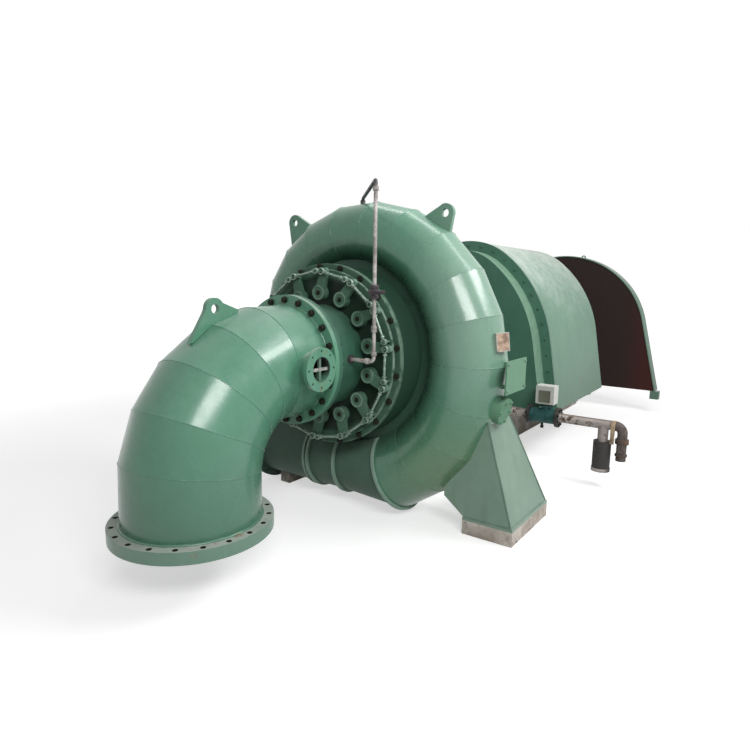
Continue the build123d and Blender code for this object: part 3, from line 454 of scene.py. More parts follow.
# Discharge cone: a short welded drum between the flange and the head cover, painted dark as shade.
# It carries its own flange and is painted with it in one dark green.
# Painted shade: the cone and its flange are dark green as shade.
shaded_enamel = enamel(
    "greasy green enamel", (0.033, 0.104, 0.068), (0.050, 0.136, 0.092), (0.14, 0.20, 0.16),
    dusty=0.3, chips=-1.0, gloss=0.3,
)
dress(shaded_enamel, "discharge_cone")

# Inspection nozzle: a short neck with a drilled flange, its mouth guarded by a welded cross.
# A weld runs round the neck where it meets the flange, and a dark liner in the bore is painted
# shade, green only at the bottom.


def thicken(piece, thickness, offset):
    """Gives a sheet its thickness: -1 puts it behind the faces, 0 to both sides of them."""
    wall = piece.modifiers.new("wall", "SOLIDIFY")
    wall.thickness = thickness
    wall.offset = offset
    bpy.ops.object.modifier_apply(modifier="wall")


def ease(piece, width, limit):
    """Rounds off the edges that turn by more degrees than the limit."""
    eased = piece.modifiers.new("eased", "BEVEL")
    eased.width = width
    eased.segments = 2
    eased.angle_limit = radians(limit)
    bpy.ops.object.modifier_apply(modifier="eased")


def collar(inner, outer, height, edge):
    """A turned ring with eased edges, standing on the origin along +Z."""
    deselect()
    bpy.ops.mesh.primitive_circle_add(vertices=28, radius=inner)
    ring = bpy.context.object
    bpy.ops.object.mode_set(mode="EDIT")
    bpy.ops.mesh.select_all(action="SELECT")
    bpy.ops.mesh.extrude_edges_move()
    bpy.ops.transform.resize(value=(outer / inner, outer / inner, 1))
    bpy.ops.mesh.select_all(action="SELECT")
    bpy.ops.mesh.normals_make_consistent(inside=False)
    bpy.ops.object.mode_set(mode="OBJECT")
    thicken(ring, height, 0)
    ease(ring, edge, 50)
    ring.data.transform(Matrix.Translation((0, 0, height / 2)))
    return ring


nozzle_low, nozzle_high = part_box("inspection_nozzle")
nozzle_x = nozzle_high.x
nozzle_y, nozzle_z = ((nozzle_low + nozzle_high) / 2).yz
nozzle_neck = 0.095
nozzle_flange = 0.025
nozzle_bead = 0.006
nozzle_weld = weld_ring(
    (nozzle_x - nozzle_flange, nozzle_y, nozzle_z), (1, 0, 0), nozzle_neck, nozzle_bead, 9
)
settle(nozzle_weld, "nozzle_weld", sage_enamel, smooth=60)
dress(worn_flange, "inspection_nozzle")
cross_steel, shader, wire, place = new_finish("half painted steel")
mill_scale = place.noise(30, 5, 0.6)
off_arm = abs(place.axis("Z") - nozzle_z).ramp(0.008, 0.016)
rubbed_steel = wire.mix(mill_scale.ramp(0.35, 0.7), (0.26, 0.27, 0.25), (0.50, 0.51, 0.48))
connect(
    shader,
    Base_Color=wire.mix(off_arm * 0.9, rubbed_steel, (0.050, 0.125, 0.085)),
    Roughness=0.38 + mill_scale * 0.25,
    Metallic=0.6 - off_arm * 0.6,
    Normal=mill_scale.relief(0.2, 0.002),
)
dress(cross_steel, "nozzle_cross")
# Painted shade: the bore is near-black above and green only at the bottom.
bore_shade_paint, shader, wire, place = new_finish("shadowed bore paint")
bore_mottle = place.noise(22, 5, 0.6)
unshaded_lower_bore = (1 - (place.axis("Z") - nozzle_z).ramp(-0.060, 0.0)) * (0.7 + bore_mottle * 0.5)
connect(
    shader,
    Base_Color=wire.mix(unshaded_lower_bore, (0.010, 0.016, 0.013), (0.055, 0.150, 0.100)),
    Roughness=0.45 + bore_mottle * 0.3,
    Normal=bore_mottle.relief(0.2, 0.002),
)
nozzle_bore = 0.075
liner_skin = 0.004
liner_gap = 0.0005
liner_depth = 0.060
liner_setback = 0.002
bore_shade_liner = set_out(
    collar(nozzle_bore - liner_skin, nozzle_bore - liner_gap, liner_depth, edge=0.001),
    [((nozzle_x - liner_depth - liner_setback, nozzle_y, nozzle_z), (1, 0, 0))],
)
settle(bore_shade_liner, "nozzle_shade_liner", bore_shade_paint)

# Head cover: a heavy turned ring in dark green enamel, with bolts in pockets round its flange.
# The outer edge is rubbed and carries a painted edge highlight, and painted shade darkens the
# recess round the lever bosses.
ENGINE_GREEN = (0.042, 0.098, 0.066)
ENGINE_FADED = (0.078, 0.150, 0.106)


def gear_enamel(name, band, edge_wear_and_highlight_colour, painted_shade, colour=ENGINE_GREEN, faded=ENGINE_FADED):
    """Dark enamel of the gate gear, rubbed and given a painted edge highlight from one distance
    from the shaft to another.
    """
    material, shader, wire, place = new_finish(name)
    mottle = place.noise(14, 5, 0.62)
    clouds = place.noise(3.1, 4, 0.55)
    grain = place.noise(120, 3, 0.6)
    distance = (place.axis("Z") - axis_z).reach(place.axis("X"))
    # Painted edge highlight over rubbed wear, in a band at the outer edge.
    rubbed_and_lit_edge = distance.ramp(*band) * mottle.ramp(0.36, 0.55)
    # Painted shade: the recess round the lever bosses darkens towards black.
    recess_shade_mask = (1 - distance.ramp(0.50, 0.58)) * (0.65 + clouds.ramp(0.3, 0.6) * 0.35)
    # Painted shade: the cover barrel behind the flange is darkened.
    painted_barrel_shade = place.axis("Y").ramp(1.16, 1.20)
    chip = mottle.ramp(0.66, 0.69)
    paint = wire.mix(clouds.ramp(0.3, 0.7), colour, faded)
    paint = wire.mix(recess_shade_mask * painted_shade, paint, (0.008, 0.014, 0.010))
    paint = wire.mix(rubbed_and_lit_edge * 0.8, paint, edge_wear_and_highlight_colour)
    paint = wire.mix(painted_barrel_shade * 0.9, paint, (0.030, 0.074, 0.050))
    connect(
        shader,
        Base_Color=wire.mix(chip * 0.8, paint, RUST_DARK),
        Roughness=0.34 + mottle * 0.22 - recess_shade_mask * 0.1 + chip * 0.3,
        Normal=(mottle * 0.7 + grain * 0.3).relief(0.25, 0.003),
        Specular_IOR_Level=0.12,
    )
    return material


def clock_point(angle, radius, y):
    """A point round the shaft, clockwise from the top as seen from the elbow."""
    turn = radians(angle)
    return Vector((radius * sin(turn), y, axis_z + radius * cos(turn)))


def clock_seats(count, radius, y, first=0):
    """Seats round the shaft that face the elbow."""
    return [(clock_point(first + 360 * n / count, radius, y), (0, -1, 0)) for n in range(count)]


cover_enamel = gear_enamel("cover enamel", (0.618, 0.627), (0.16, 0.25, 0.19), 0.92)
dress(cover_enamel, "head_cover")
cover_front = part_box("head_cover")[0].y
cover_bolt_count = 21
cover_bolt_circle = 0.610
pocket_depth = 0.027
cover_bolts = set_out(
    hexagon_bolt(across=0.034, height=0.014, washer=0.0195, thick=0.003),
    clock_seats(cover_bolt_count, cover_bolt_circle, cover_front + pocket_depth, first=270),
)
settle(cover_bolts, "cover_bolts", dark_bolts)

# Gate gear: a lever on every vane stem, a link from each lever to the gate ring, and the ring.
# Levers and ring are flame-cut plate in dark enamel; the links are bright turned rods with eyes.
# A turned cap held by a dark screw closes the boss of each lever.
LEVER_GREEN = (0.075, 0.160, 0.108)
LEVER_FADED = (0.110, 0.210, 0.148)
lever_enamel = gear_enamel(
    "lever enamel", (0.585, 0.60), (0.20, 0.30, 0.23), 0.12, LEVER_GREEN, LEVER_FADED
)
ring_enamel = gear_enamel("gate ring enamel", (0.580, 0.589), (0.26, 0.37, 0.30), 0.3)
lever_names = sorted(name for name in nodes if name.startswith("vane_lever_"))
dress(lever_enamel, *lever_names)
dress(ring_enamel, "gate_ring")


def turned_rod(start, end, radius):
    """A plain turned rod between two points, with eased ends."""
    start = Vector(start)
    end = Vector(end)
    deselect()
    bpy.ops.mesh.primitive_cylinder_add(
        vertices=24,
        radius=radius,
        depth=(end - start).length,
        location=(start + end) / 2,
        rotation=(end - start).to_track_quat("Z", "Y").to_euler(),
    )
    rod = bpy.context.object
    ease(rod, radius * 0.12, 60)
    bpy.ops.object.transform_apply()
    return rod


vane_count = len(lever_names)
vane_circle = 0.431
arm_length = 0.1485
arm_lean = radians(16.2)
pin_gap = 4.86
tip_out = vane_circle + arm_length * cos(arm_lean)
tip_across = arm_length * sin(arm_lean)
tip_circle = hypot(tip_out, tip_across)
tip_angle = degrees(atan2(tip_across, tip_out))
link_low, link_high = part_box("gate_links")
link_depth = link_high.y - link_low.y
link_rod = 0.0085
lever_eye = 0.023
ring_eye = 0.020
eye_edge = 0.0015
eye_lap = 0.9
lever_pin_room = 0.0155
ring_pin_room = 0.0093
lock_nut = 0.0145
lever_nut_offset = 0.030
ring_nut_offset = 0.027
start = clock_point(tip_angle, tip_circle, link_low.y)
end = clock_point(tip_angle + 360 / vane_count - pin_gap, tip_circle, link_low.y)
along = (end - start).normalized()
middle = Vector((0, link_depth / 2, 0))
rod_start = start + middle
rod_end = end + middle
one_link = joined(
    [
        set_out(collar(lever_pin_room, lever_eye, link_depth, eye_edge), [(start, (0, 1, 0))]),
        set_out(collar(ring_pin_room, ring_eye, link_depth, eye_edge), [(end, (0, 1, 0))]),
        turned_rod(
            rod_start + along * lever_eye * eye_lap, rod_end - along * ring_eye * eye_lap, link_rod
        ),
        set_out(
            collar(link_rod, lock_nut, height=0.010, edge=0.001),
            [
                (rod_start + along * lever_nut_offset, along),
                (rod_end - along * ring_nut_offset, -along),
            ],
        ),
    ]
)
to_shaft = Matrix.Translation((0, 0, axis_z))
from_shaft = Matrix.Translation((0, 0, -axis_z))
links = []
for number in range(vane_count):
    link = own_copy(one_link)
    turned = Matrix.Rotation(2 * pi * number / vane_count, 4, "Y")
    link.data.transform(to_shaft @ turned @ from_shaft)
    links.append(link)
bpy.data.objects.remove(one_link)
link_steel, shader, wire, place = new_finish("bright link steel")
wipes = place.noise(60, 4, 0.6)
stains = place.noise(9, 4, 0.6)
bright = wire.mix(wipes.ramp(0.3, 0.75), (0.12, 0.20, 0.155), (0.36, 0.46, 0.39))
connect(
    shader,
    Base_Color=wire.mix(stains.ramp(0.58, 0.75) * 0.7, bright, (0.20, 0.17, 0.12)),
    Roughness=0.30 + wipes * 0.25,
    Normal=wipes.relief(0.15, 0.001),
    Metallic=0.25,
)
gate_links = settle(joined(links), "link_rods", link_steel, body="gate_ring_body")
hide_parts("gate_links")
cap_enamel = gear_enamel(
    "cap enamel", (0.30, 0.31), (0.20, 0.31, 0.24), 0, LEVER_GREEN, LEVER_FADED
)
cap_rim = collar(inner=0.037, outer=0.0505, height=0.004, edge=0.0012)
cap_rim.data.materials.append(cap_enamel)
stem_screw = hexagon_bolt(across=0.021, height=0.005, washer=0.0165, thick=0.002)
stem_screw.data.materials.append(dark_bolts)
boss_proud = 0.050
cap_seats = clock_seats(vane_count, vane_circle, cover_front - boss_proud)
for name, cap in zip(lever_names, copied(joined([cap_rim, stem_screw]), cap_seats)):
    settle(cap, name.replace("lever", "cap"), None, body=name + "_body")

# Distributor and covers: the closed ring that the spiral is welded to, in a dark dull coat that is
# painted shade.
# The rear cover and its seal housing, in sage, close the machine towards the bearing.
# Painted shade: the groove between spiral and cover is given a dark coat.
groove_shade_enamel = enamel(
    "groove enamel", (0.034, 0.082, 0.056), (0.046, 0.100, 0.070), (0.05, 0.08, 0.06),
    dusty=0.2, chips=-1.0, coat=0, gloss=0.2,
)
dress(groove_shade_enamel, "distributor")
dress(sage_enamel, "rear_cover")

# Spiral case: rings of rolled plate cut on mitres and welded, the section shrinking as it winds.
# Its enamel carries a painted pale sheen on the right flank, is stained olive low down and has
# painted shade near the shaft.
OLIVE = (0.095, 0.170, 0.075)
spiral_enamel = enamel("spiral enamel", SAGE, SAGE_FADED, SAGE_DUST, **sage_wear, tint=OLIVE)
spiral_low, spiral_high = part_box("spiral_case")
spiral_y = (spiral_low.y + spiral_high.y) / 2
inlet_section = (spiral_high.y - spiral_low.y) / 2
stay_radius = 0.669
stay_half = 0.110
first_section = 157.0
spiral_end = -200.0
section_step = 16.5
section_count = 20


def section_radius(angle):
    """The radius of the winding pipe at an angle round the shaft."""
    return inlet_section * sqrt((angle - spiral_end) / (first_section - spiral_end))


def section_centre(angle):
    """How far from the shaft the middle of the winding pipe lies."""
    return stay_radius + sqrt(max(section_radius(angle) ** 2 - stay_half**2, 0))


spiral_welds = []
for number in range(1, section_count - 2):
    angle = first_section - section_step * number
    turn = radians(angle)
    centre = clock_point(angle, section_centre(angle), spiral_y)
    normal = (cos(turn), 0, -sin(turn))
    spiral_welds.append(weld_ring(centre, normal, section_radius(angle), weld_bead, 20 + number))
settle(joined(spiral_welds), "spiral_welds", spiral_enamel, smooth=60)
dress(spiral_enamel, "spiral_case", "spiral_lugs")

# Hand-hole cover: a blank flange on a stub on the spiral's outer side, held by hexagon bolts.
# It is cut from plate and painted over in one matt coat, bolts and all.
hole_angle = 105.0
hole_turn = radians(hole_angle)
hole_out = Vector((sin(hole_turn), 0, cos(hole_turn)))
hole_proud = 0.040
hole_reach = section_centre(hole_angle) + section_radius(hole_angle) + hole_proud
hole_face = clock_point(hole_angle, hole_reach, spiral_y)
hole_bolts = set_out(
    hexagon_bolt(across=0.019, height=0.010, washer=0.013, thick=0.002),
    circle_seats(hole_face, radius=0.076, count=6, facing=hole_out, first=10),
)
matt_enamel = enamel(
    "matt cover enamel", (0.100, 0.228, 0.142), (0.145, 0.280, 0.182), SAGE_DUST,
    dusty=0.3, chips=-0.5, rough=0.62, coat=0, gloss=0.2,
)
settle(hole_bolts, "hand_hole_bolts", matt_enamel)
dress(matt_enamel, "hand_hole_cover")

# Nameplate: a bare coppery plate on its pad, held by a dome-headed rivet at each corner.
# Handling has left it unevenly tarnished, with a greyer rim.
plate_clock = 83
plate_angle = radians(plate_clock)
plate_tilt = radians(30)
plate_out = Vector(
    (sin(plate_angle) * cos(plate_tilt), -sin(plate_tilt), cos(plate_angle) * cos(plate_tilt))
)
plate_across = Vector(
    (sin(plate_angle) * sin(plate_tilt), cos(plate_tilt), cos(plate_angle) * sin(plate_tilt))
)
plate_up = plate_out.cross(plate_across)
plate_half_width = 0.042
plate_half_height = 0.052
plate_pad = 0.005
plate_shift = 0.088
plate_hub = clock_point(plate_clock, section_centre(plate_clock), spiral_y)
plate_proud = section_radius(plate_clock) + plate_pad
plate_face = plate_hub + plate_out * plate_proud + plate_across * plate_shift
plate_copper, shader, wire, place = new_finish("tarnished plate")
tarnish = place.noise(26, 5, 0.65)
copper = wire.mix(tarnish.ramp(0.35, 0.68), (0.52, 0.37, 0.27), (0.20, 0.14, 0.10))
border = 0
for way, half in ((plate_across, plate_half_width), (plate_up, plate_half_height)):
    aside = wire.node("VectorMath", {"operation": "DOT_PRODUCT"}, {0: place, 1: way}, out="Value")
    border = border + abs(aside - plate_face.dot(way)).ramp(half, half + 0.004)
border = wire.sum_up("MINIMUM", border, 1.0)
rim = wire.mix(tarnish, (0.52, 0.50, 0.46), (0.26, 0.27, 0.23))
connect(
    shader,
    Base_Color=wire.mix(border, copper, rim),
    Roughness=0.36 + tarnish * 0.3,
    Normal=tarnish.relief(0.12, 0.001),
    Metallic=0.25,
)
rivet_radius = 0.005
rivet_flatness = 0.6
deselect()
bpy.ops.mesh.primitive_uv_sphere_add(segments=14, ring_count=8, radius=rivet_radius)
rivet = bpy.context.object
bpy.ops.object.mode_set(mode="EDIT")
bpy.ops.mesh.select_all(action="SELECT")
bpy.ops.mesh.bisect(plane_co=(0, 0, 0), plane_no=(0, 0, 1), clear_inner=True, use_fill=True)
bpy.ops.mesh.select_all(action="SELECT")
bpy.ops.transform.resize(value=(1, 1, rivet_flatness))
bpy.ops.object.mode_set(mode="OBJECT")
rivet_seats = [
    (plate_face + side * plate_across + level * plate_up, plate_out)
    for side in (-plate_half_width, plate_half_width)
    for level in (-plate_half_height, plate_half_height)
]
settle(set_out(rivet, rivet_seats), "nameplate_rivets", plate_copper)
dress(plate_copper, "nameplate")

# Side panel: a folded green plate standing off the spiral on arms, with a screw at each corner.
# It is sheet steel in a slightly fresher coat of the turbine's green; the screws are painted too.
panel_low, panel_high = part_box("side_panel")
panel_enamel = enamel(
    "panel enamel", (0.088, 0.215, 0.128), (0.112, 0.250, 0.152), SAGE_DUST,
    dusty=0.2, chips=-1.0, coat=0, gloss=0.3,
)
bolt_enamel = enamel(
    "painted bolt steel", (0.10, 0.19, 0.14), (0.17, 0.26, 0.20), (0.34, 0.38, 0.33), chips=0.8
)
screw_inset = 0.022
panel_seats = [
    ((panel_high.x, along, level), (1, 0, 0))
    for along in (panel_low.y + screw_inset, panel_high.y - screw_inset)
    for level in (panel_low.z + screw_inset, panel_high.z - screw_inset)
]
panel_screws = set_out(
    hexagon_bolt(across=0.013, height=0.006, washer=0.009, thick=0.002), panel_seats
)
settle(panel_screws, "panel_screws", bolt_enamel)
dress(panel_enamel, "side_panel")

# Inlet pipe: rolled plate with flat stiffening ribs and a drilled flange, in dull dark green.
# Dust lies on its upper side, and the ribs have faded paler than the pipe.
pipe_enamel = enamel(
    "pipe enamel", (0.060, 0.118, 0.086), (0.092, 0.155, 0.118), (0.20, 0.26, 0.21),
    dusty=0.4, chips=-0.6, rough=0.5, coat=0, gloss=0.25,
)
rib_enamel = enamel(
    "rib enamel", (0.190, 0.300, 0.235), (0.280, 0.400, 0.325), (0.38, 0.43, 0.37),
    dusty=0.6, chips=-0.4, rough=0.5, coat=0.05,
)
dress(pipe_enamel, "inlet_pipe", "inlet_flange")
dress(rib_enamel, "inlet_ribs")

# Foot: a welded box of plate that carries the spiral, on a base plate bedded in rough grout.
# Welds run along the edges of the box; the saddle and the beam are cast in the same grout.
foot_enamel = enamel(
    "foot enamel", (0.125, 0.215, 0.155), (0.180, 0.275, 0.205), (0.34, 0.40, 0.34),
    dusty=0.5, chips=-0.5, streaks=0.6, rough=0.42,
)
base_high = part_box("foot_base_plate")[1]
foot_low, foot_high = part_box("foot_right")
toe_inset = 0.012
heel_x = 0.957
crown_x = 1.103
crown_z = 0.487
crown_depth = 0.345
slant_bead = 0.005
base_bead = 0.006
heel = (heel_x, foot_low.y, base_high.z)
front_toe = (base_high.x - toe_inset, foot_low.y, base_high.z)
rear_toe = (base_high.x - toe_inset, foot_high.y, base_high.z)
welds = [
    turned_rod(front_toe, (crown_x, foot_low.y, crown_z), slant_bead),
    turned_rod(rear_toe, (crown_x, foot_low.y + crown_depth, crown_z), slant_bead),
    turned_rod(heel, front_toe, base_bead),
    turned_rod(front_toe, rear_toe, base_bead),
]
for number, weld in enumerate(welds):
    roughened(weld, 0.001, number, cuts=4)
settle(joined(welds), "foot_welds", foot_enamel, smooth=60)
dress(foot_enamel, "foot_right", "foot_base_plate")
grout, shader, wire, place = new_finish("rough grout")
lumps = place.noise(22, 7, 0.68)
patches = place.noise(6, 4, 0.6)
pale = wire.mix(patches.ramp(0.35, 0.66), (0.36, 0.31, 0.26), (0.62, 0.57, 0.52))
connect(
    shader,
    Base_Color=wire.mix(lumps.ramp(0.56, 0.70), pale, (0.11, 0.11, 0.09)),
    Roughness=0.82 + lumps * 0.15,
    Normal=lumps.relief(0.8, 0.02),
)
dress(grout, "foot_pad", "inlet_saddle", "foundation_beam")

# Vent pipe: galvanised tube with screwed fittings, a small valve with a lever, and a coupling.
# The zinc has dulled to a patchy grey with rusty spots; the top bend and the valve are dark.
vent_low, vent_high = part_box("vent_pipe")
dull_zinc, shader, wire, place = new_finish("dull zinc")
spangle = wire.node("TexVoronoi", {}, {"Vector": place, "Scale": 90.0}, out="Distance")
bloom = place.noise(12, 5, 0.65)
zinc = wire.mix(bloom.ramp(0.3, 0.7), (0.20, 0.18, 0.17), (0.54, 0.51, 0.485))
zinc = wire.mix(bloom.ramp(0.66, 0.76) * 0.7, zinc, RUST_LIGHT)
crown = place.axis("Z").ramp(vent_high.z - 0.07, vent_high.z - 0.03)
connect(
    shader,
    Base_Color=wire.mix(crown * 0.88, zinc, (0.020, 0.022, 0.021)),
    Roughness=0.42 + spangle * 0.3,
    Normal=spangle.relief(0.15, 0.001),
    Metallic=0.35,
)
valve_dark, shader, wire, place = new_finish("stained valve paint")
stain = place.noise(40, 5, 0.65)
connect(
    shader,
    Base_Color=wire.mix(stain.ramp(0.35, 0.68), (0.024, 0.017, 0.024), (0.065, 0.046, 0.054)),
    Roughness=0.40 + stain * 0.3,
    Normal=stain.relief(0.3, 0.002),
)
valve_low, valve_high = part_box("vent_valve")
valve_half = 0.024
vent_x = (valve_low.x + valve_high.x) / 2
vent_y = valve_high.y - valve_half
vent_radius = 0.012
branch_z = vent_low.z + vent_radius
branch_fitting = vent_x - 0.065
crown_start_x = 0.010
fitting_seats = [
    ((vent_x, vent_y, vent_high.z - 0.075), (0, 0, 1)),
    ((vent_x, vent_y, vent_low.z + 0.050), (0, 0, 1)),
    ((branch_fitting, vent_y, branch_z), (1, 0, 0)),
    ((crown_start_x, spiral_y, vent_high.z - 0.050), (0, 0, 1)),
]
fittings = set_out(collar(vent_radius, outer=0.0185, height=0.026, edge=0.002), fitting_seats)
settle(fittings, "vent_fittings", dull_zinc)
nut_height = 0.020
cone_radius = 0.350
cone_lap = 0.004
nut_seats = [
    ((vent_x, vent_y, valve_low.z), (0, 0, 1)),
    ((vent_x, vent_y, valve_high.z - nut_height), (0, 0, 1)),
    ((cone_radius - cone_lap, vent_y, branch_z), (1, 0, 0)),
]
valve_nuts = set_out(collar(vent_radius, outer=0.0275, height=nut_height, edge=0.002), nut_seats)
settle(valve_nuts, "vent_valve_nuts", valve_dark)
handle_low, handle_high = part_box("vent_valve_handle")
handle_y = (handle_low.y + handle_high.y) / 2
handle_z = (handle_low.z + handle_high.z) / 2
grip_ends = [(handle_high.x - back, handle_y, handle_z) for back in (0.062, 0.002)]
grip = turned_rod(*grip_ends, radius=0.0118)
handle_nut = set_out(
    hexagon_bolt(across=0.016, height=0.007, washer=0.011, thick=0.002),
    [((vent_x, handle_low.y, handle_z), (0, -1, 0))],
)
handle_grip = joined([grip, handle_nut])
settle(handle_grip, "vent_handle_grip", valve_dark, body="vent_handle_body")
dress(dull_zinc, "vent_pipe")
dress(valve_dark, "vent_valve", "vent_valve_handle")

# Shaft and bearing: a turned steel shaft carried in a cast pedestal with a bolted cap.
# Both stand behind the spiral on the foundation beam.
shaft_steel, shader, wire, place = new_finish("turned shaft steel")
rings = place.stretched(2, 160, 2).noise(1.0, 3, 0.5)
film = place.noise(7, 4, 0.6)
connect(
    shader,
    Base_Color=wire.mix(film.ramp(0.4, 0.75), (0.44, 0.44, 0.42), (0.24, 0.19, 0.13)),
    Roughness=0.25 + rings * 0.25,
    Normal=rings.relief(0.1, 0.001),
    Metallic=0.9,
)
dress(shaft_steel, "shaft")
bearing_low, bearing_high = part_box("bearing_pedestal")
cap_radius = 0.190
cap_bolt_aside = 0.135
cap_bolt_inset = 0.06
cap_bolt_sink = 0.004
cap_bolt_z = axis_z + sqrt(cap_radius**2 - cap_bolt_aside**2) - cap_bolt_sink
bearing_seats = [
    ((side, along, cap_bolt_z), (0, 0, 1))
    for side in (-cap_bolt_aside, cap_bolt_aside)
    for along in (bearing_low.y + cap_bolt_inset, bearing_high.y - cap_bolt_inset)
]
bearing_bolts = set_out(
    hexagon_bolt(across=0.046, height=0.030, washer=0.032, thick=0.006), bearing_seats
)
settle(bearing_bolts, "bearing_cap_bolts", bolt_enamel)
dress(sage_enamel, "bearing_pedestal")

# Hood: a closed arched housing with a dark green front, a bolted flange ring and a long shell.
# The front wall is flat plate, dark green as painted shade, with a folded rim painted pale as lit;
# the shell is thick with dust, its top also painted light and its bottom painted shade.
HOOD_GREEN = (0.044, 0.134, 0.090)
HOOD_GREEN_FADED = (0.066, 0.168, 0.116)


def hood_front_finish(name, lit_rim_colour):
    """Dark green as painted shade on what faces the turbine, and a paler colour as painted light
    on the folded rim behind it.
    """
    material, shader, wire, place = new_finish(name)
    clouds = place.noise(2.3, 5, 0.6)
    mottle = place.noise(16, 5, 0.62)
    runs = place.stretched(9, 9, 0.8).noise(1.0, 5, 0.6)
    # Painted shade on the faces toward the turbine, painted light on the rim.
    front = (wire.facing("Y") * -1).ramp(0.45, 0.55)
    dark = wire.mix(clouds.ramp(0.3, 0.7), HOOD_GREEN, HOOD_GREEN_FADED)
    dark = wire.mix(runs.ramp(0.58, 0.75) * 0.35, dark, (0.14, 0.20, 0.16))
    rim = wire.mix(mottle.ramp(0.35, 0.7), lit_rim_colour, darker(lit_rim_colour, 0.8))
    connect(
        shader,
        Base_Color=wire.mix(front, rim, dark),
        Roughness=0.40 + mottle * 0.18,
        Normal=mottle.relief(0.15, 0.003),
        Coat_Weight=0.1,
    )
    return material


dress(hood_front_finish("hood front enamel", (0.145, 0.260, 0.180)), "hood_front")
dress(hood_front_finish("hood ring enamel", (0.070, 0.150, 0.105)), "hood_ring")
ring_low, ring_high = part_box("hood_ring")
ring_skin = 0.001
arch_drop = 0.1
outline = {}
for vertex in nodes["hood_ring"].data.vertices:
    x, y, z = vertex.co
    if y < ring_low.y + ring_skin and z > ring_low.z + ring_skin:
        outline[round(x, 4), round(z, 4)] = atan2(x, z - axis_z + arch_drop)
edge = [Vector((x, 0, z)) for (x, z) in sorted(outline, key=outline.get)]
edge.insert(0, Vector((ring_low.x, 0, ring_low.z)))
edge.append(Vector((ring_high.x, 0, ring_low.z)))
ring_bolt_pitch = 0.150
ring_bolt_inset = 0.045
ring_seats = []
run = 0.0
next_bolt = ring_bolt_pitch / 2
for start, end in zip(edge, edge[1:]):
    length = (end - start).length
    along = (end - start).normalized()
    inward = Vector((along.z, 0, -along.x)) * ring_bolt_inset
    while length and run + length >= next_bolt:
        point = start.lerp(end, (next_bolt - run) / length) + inward
        ring_seats.append(((point.x, ring_low.y, point.z), (0, -1, 0)))
        next_bolt += ring_bolt_pitch
    run += length
ring_bolts = set_out(
    hexagon_bolt(across=0.019, height=0.009, washer=0.014, thick=0.002), ring_seats
)
# The ring bolts take the same dark green of painted shade.
settle(ring_bolts, "hood_ring_bolts", shaded_enamel)
# The hood enamel's heavy top dust is also painted top light, and its soil is painted shade low
# down.
pale_enamel = enamel(
    "bleached hood enamel", (0.100, 0.203, 0.138), (0.140, 0.254, 0.184), (0.45, 0.51, 0.46),
    dusty=1.4, chips=0.3, streaks=0.5, rough=0.5, coat=0.08, soil=0.5,
)
dress(pale_enamel, "hood_shell", "hood_bearers")

# End guard: a shallow arched rim of plate in pale green, closed by a maroon-primed panel.
# The primer is uneven, and painted light makes it redder and lighter towards the outer +X edge.
maroon_primer, shader, wire, place = new_finish("maroon primer")
clouds = place.noise(1.9, 5, 0.6)
mottle = place.noise(18, 5, 0.62)
# Painted light: redder and lighter towards the outer +X edge.
outer = place.axis("X").ramp(0.7, 1.3) * 0.7 + clouds * 0.3
primer = wire.mix(outer.ramp(0.2, 0.9), (0.020, 0.011, 0.010), (0.040, 0.010, 0.008))
connect(
    shader,
    Base_Color=wire.mix(mottle.ramp(0.62, 0.72) * 0.4, primer, (0.055, 0.03, 0.025)),
    Roughness=0.55 + mottle * 0.2,
    Normal=mottle.relief(0.15, 0.004),
    Specular_IOR_Level=0.2,
)
dress(maroon_primer, "guard_panel")
dress(pale_enamel, "guard_rim")

# Water pipe: flaking whitewashed steel tube with a flanged teal valve and its off-white drive box.
# A drop pipe in a black sleeve and a rusty elbow with collars hang from its outer end.
# A canvas strap is wrapped round the pipe, and its loose end hangs down.
whitewash, shader, wire, place = new_finish("flaking whitewash")
flakes = place.noise(26, 6, 0.68)
bands = place.noise(5, 3, 0.5)
wash = wire.mix(bands.ramp(0.35, 0.65), (0.31, 0.265, 0.245), (0.50, 0.45, 0.425))
on_top = wire.facing("Z").ramp(0.70, 0.95)
bare = wire.sum_up("MAXIMUM", (flakes * 0.7 + bands * 0.3).ramp(0.50, 0.57), on_top * 0.75)
wash = wire.mix(bare, wash, (0.085, 0.054, 0.040))
rust_end = place.axis("X").ramp(1.50, 1.53)
connect(
    shader,
    Base_Color=wire.mix(rust_end * 0.85, wash, (0.046, 0.031, 0.024)),
    Roughness=0.62 + flakes * 0.25,
    Normal=(flakes - bare).relief(0.4, 0.003),
)
dress(whitewash, "water_pipe")
water_low, water_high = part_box("water_valve")
water_flange = 0.026
paint_edge = 0.002
left_end = water_low.x + water_flange
right_end = water_high.x - water_flange
teal_enamel, shader, wire, place = new_finish("teal valve enamel")
grime = place.noise(24, 5, 0.65)
along = place.axis("X")
ends = along.ramp(right_end - paint_edge, right_end) + 1
ends = ends - along.ramp(left_end, left_end + paint_edge)
teal = wire.mix(grime.ramp(0.35, 0.68), (0.012, 0.062, 0.060), (0.034, 0.100, 0.096))
iron = wire.mix(grime.ramp(0.4, 0.7), (0.020, 0.024, 0.022), (0.06, 0.05, 0.042))
connect(
    shader,
    Base_Color=wire.mix(ends, teal, iron),
    Roughness=0.42 + grime * 0.3,
    Normal=grime.relief(0.3, 0.003),
    Specular_IOR_Level=0.22,
)
dress(teal_enamel, "water_valve")
water_y = (water_low.y + water_high.y) / 2
water_rise = 0.088
water_z = water_low.z + water_rise
water_bolts = [
    set_out(
        hexagon_bolt(across=0.016, height=0.008, washer=0.011, thick=0.002),
        circle_seats((x, water_y, water_z), 0.068, 8, (way, 0, 0), first=22.5),
    )
    for x, way in ((water_low.x, -1), (water_high.x, 1))
]
drain_x = (water_low.x + water_high.x) / 2 - 0.012
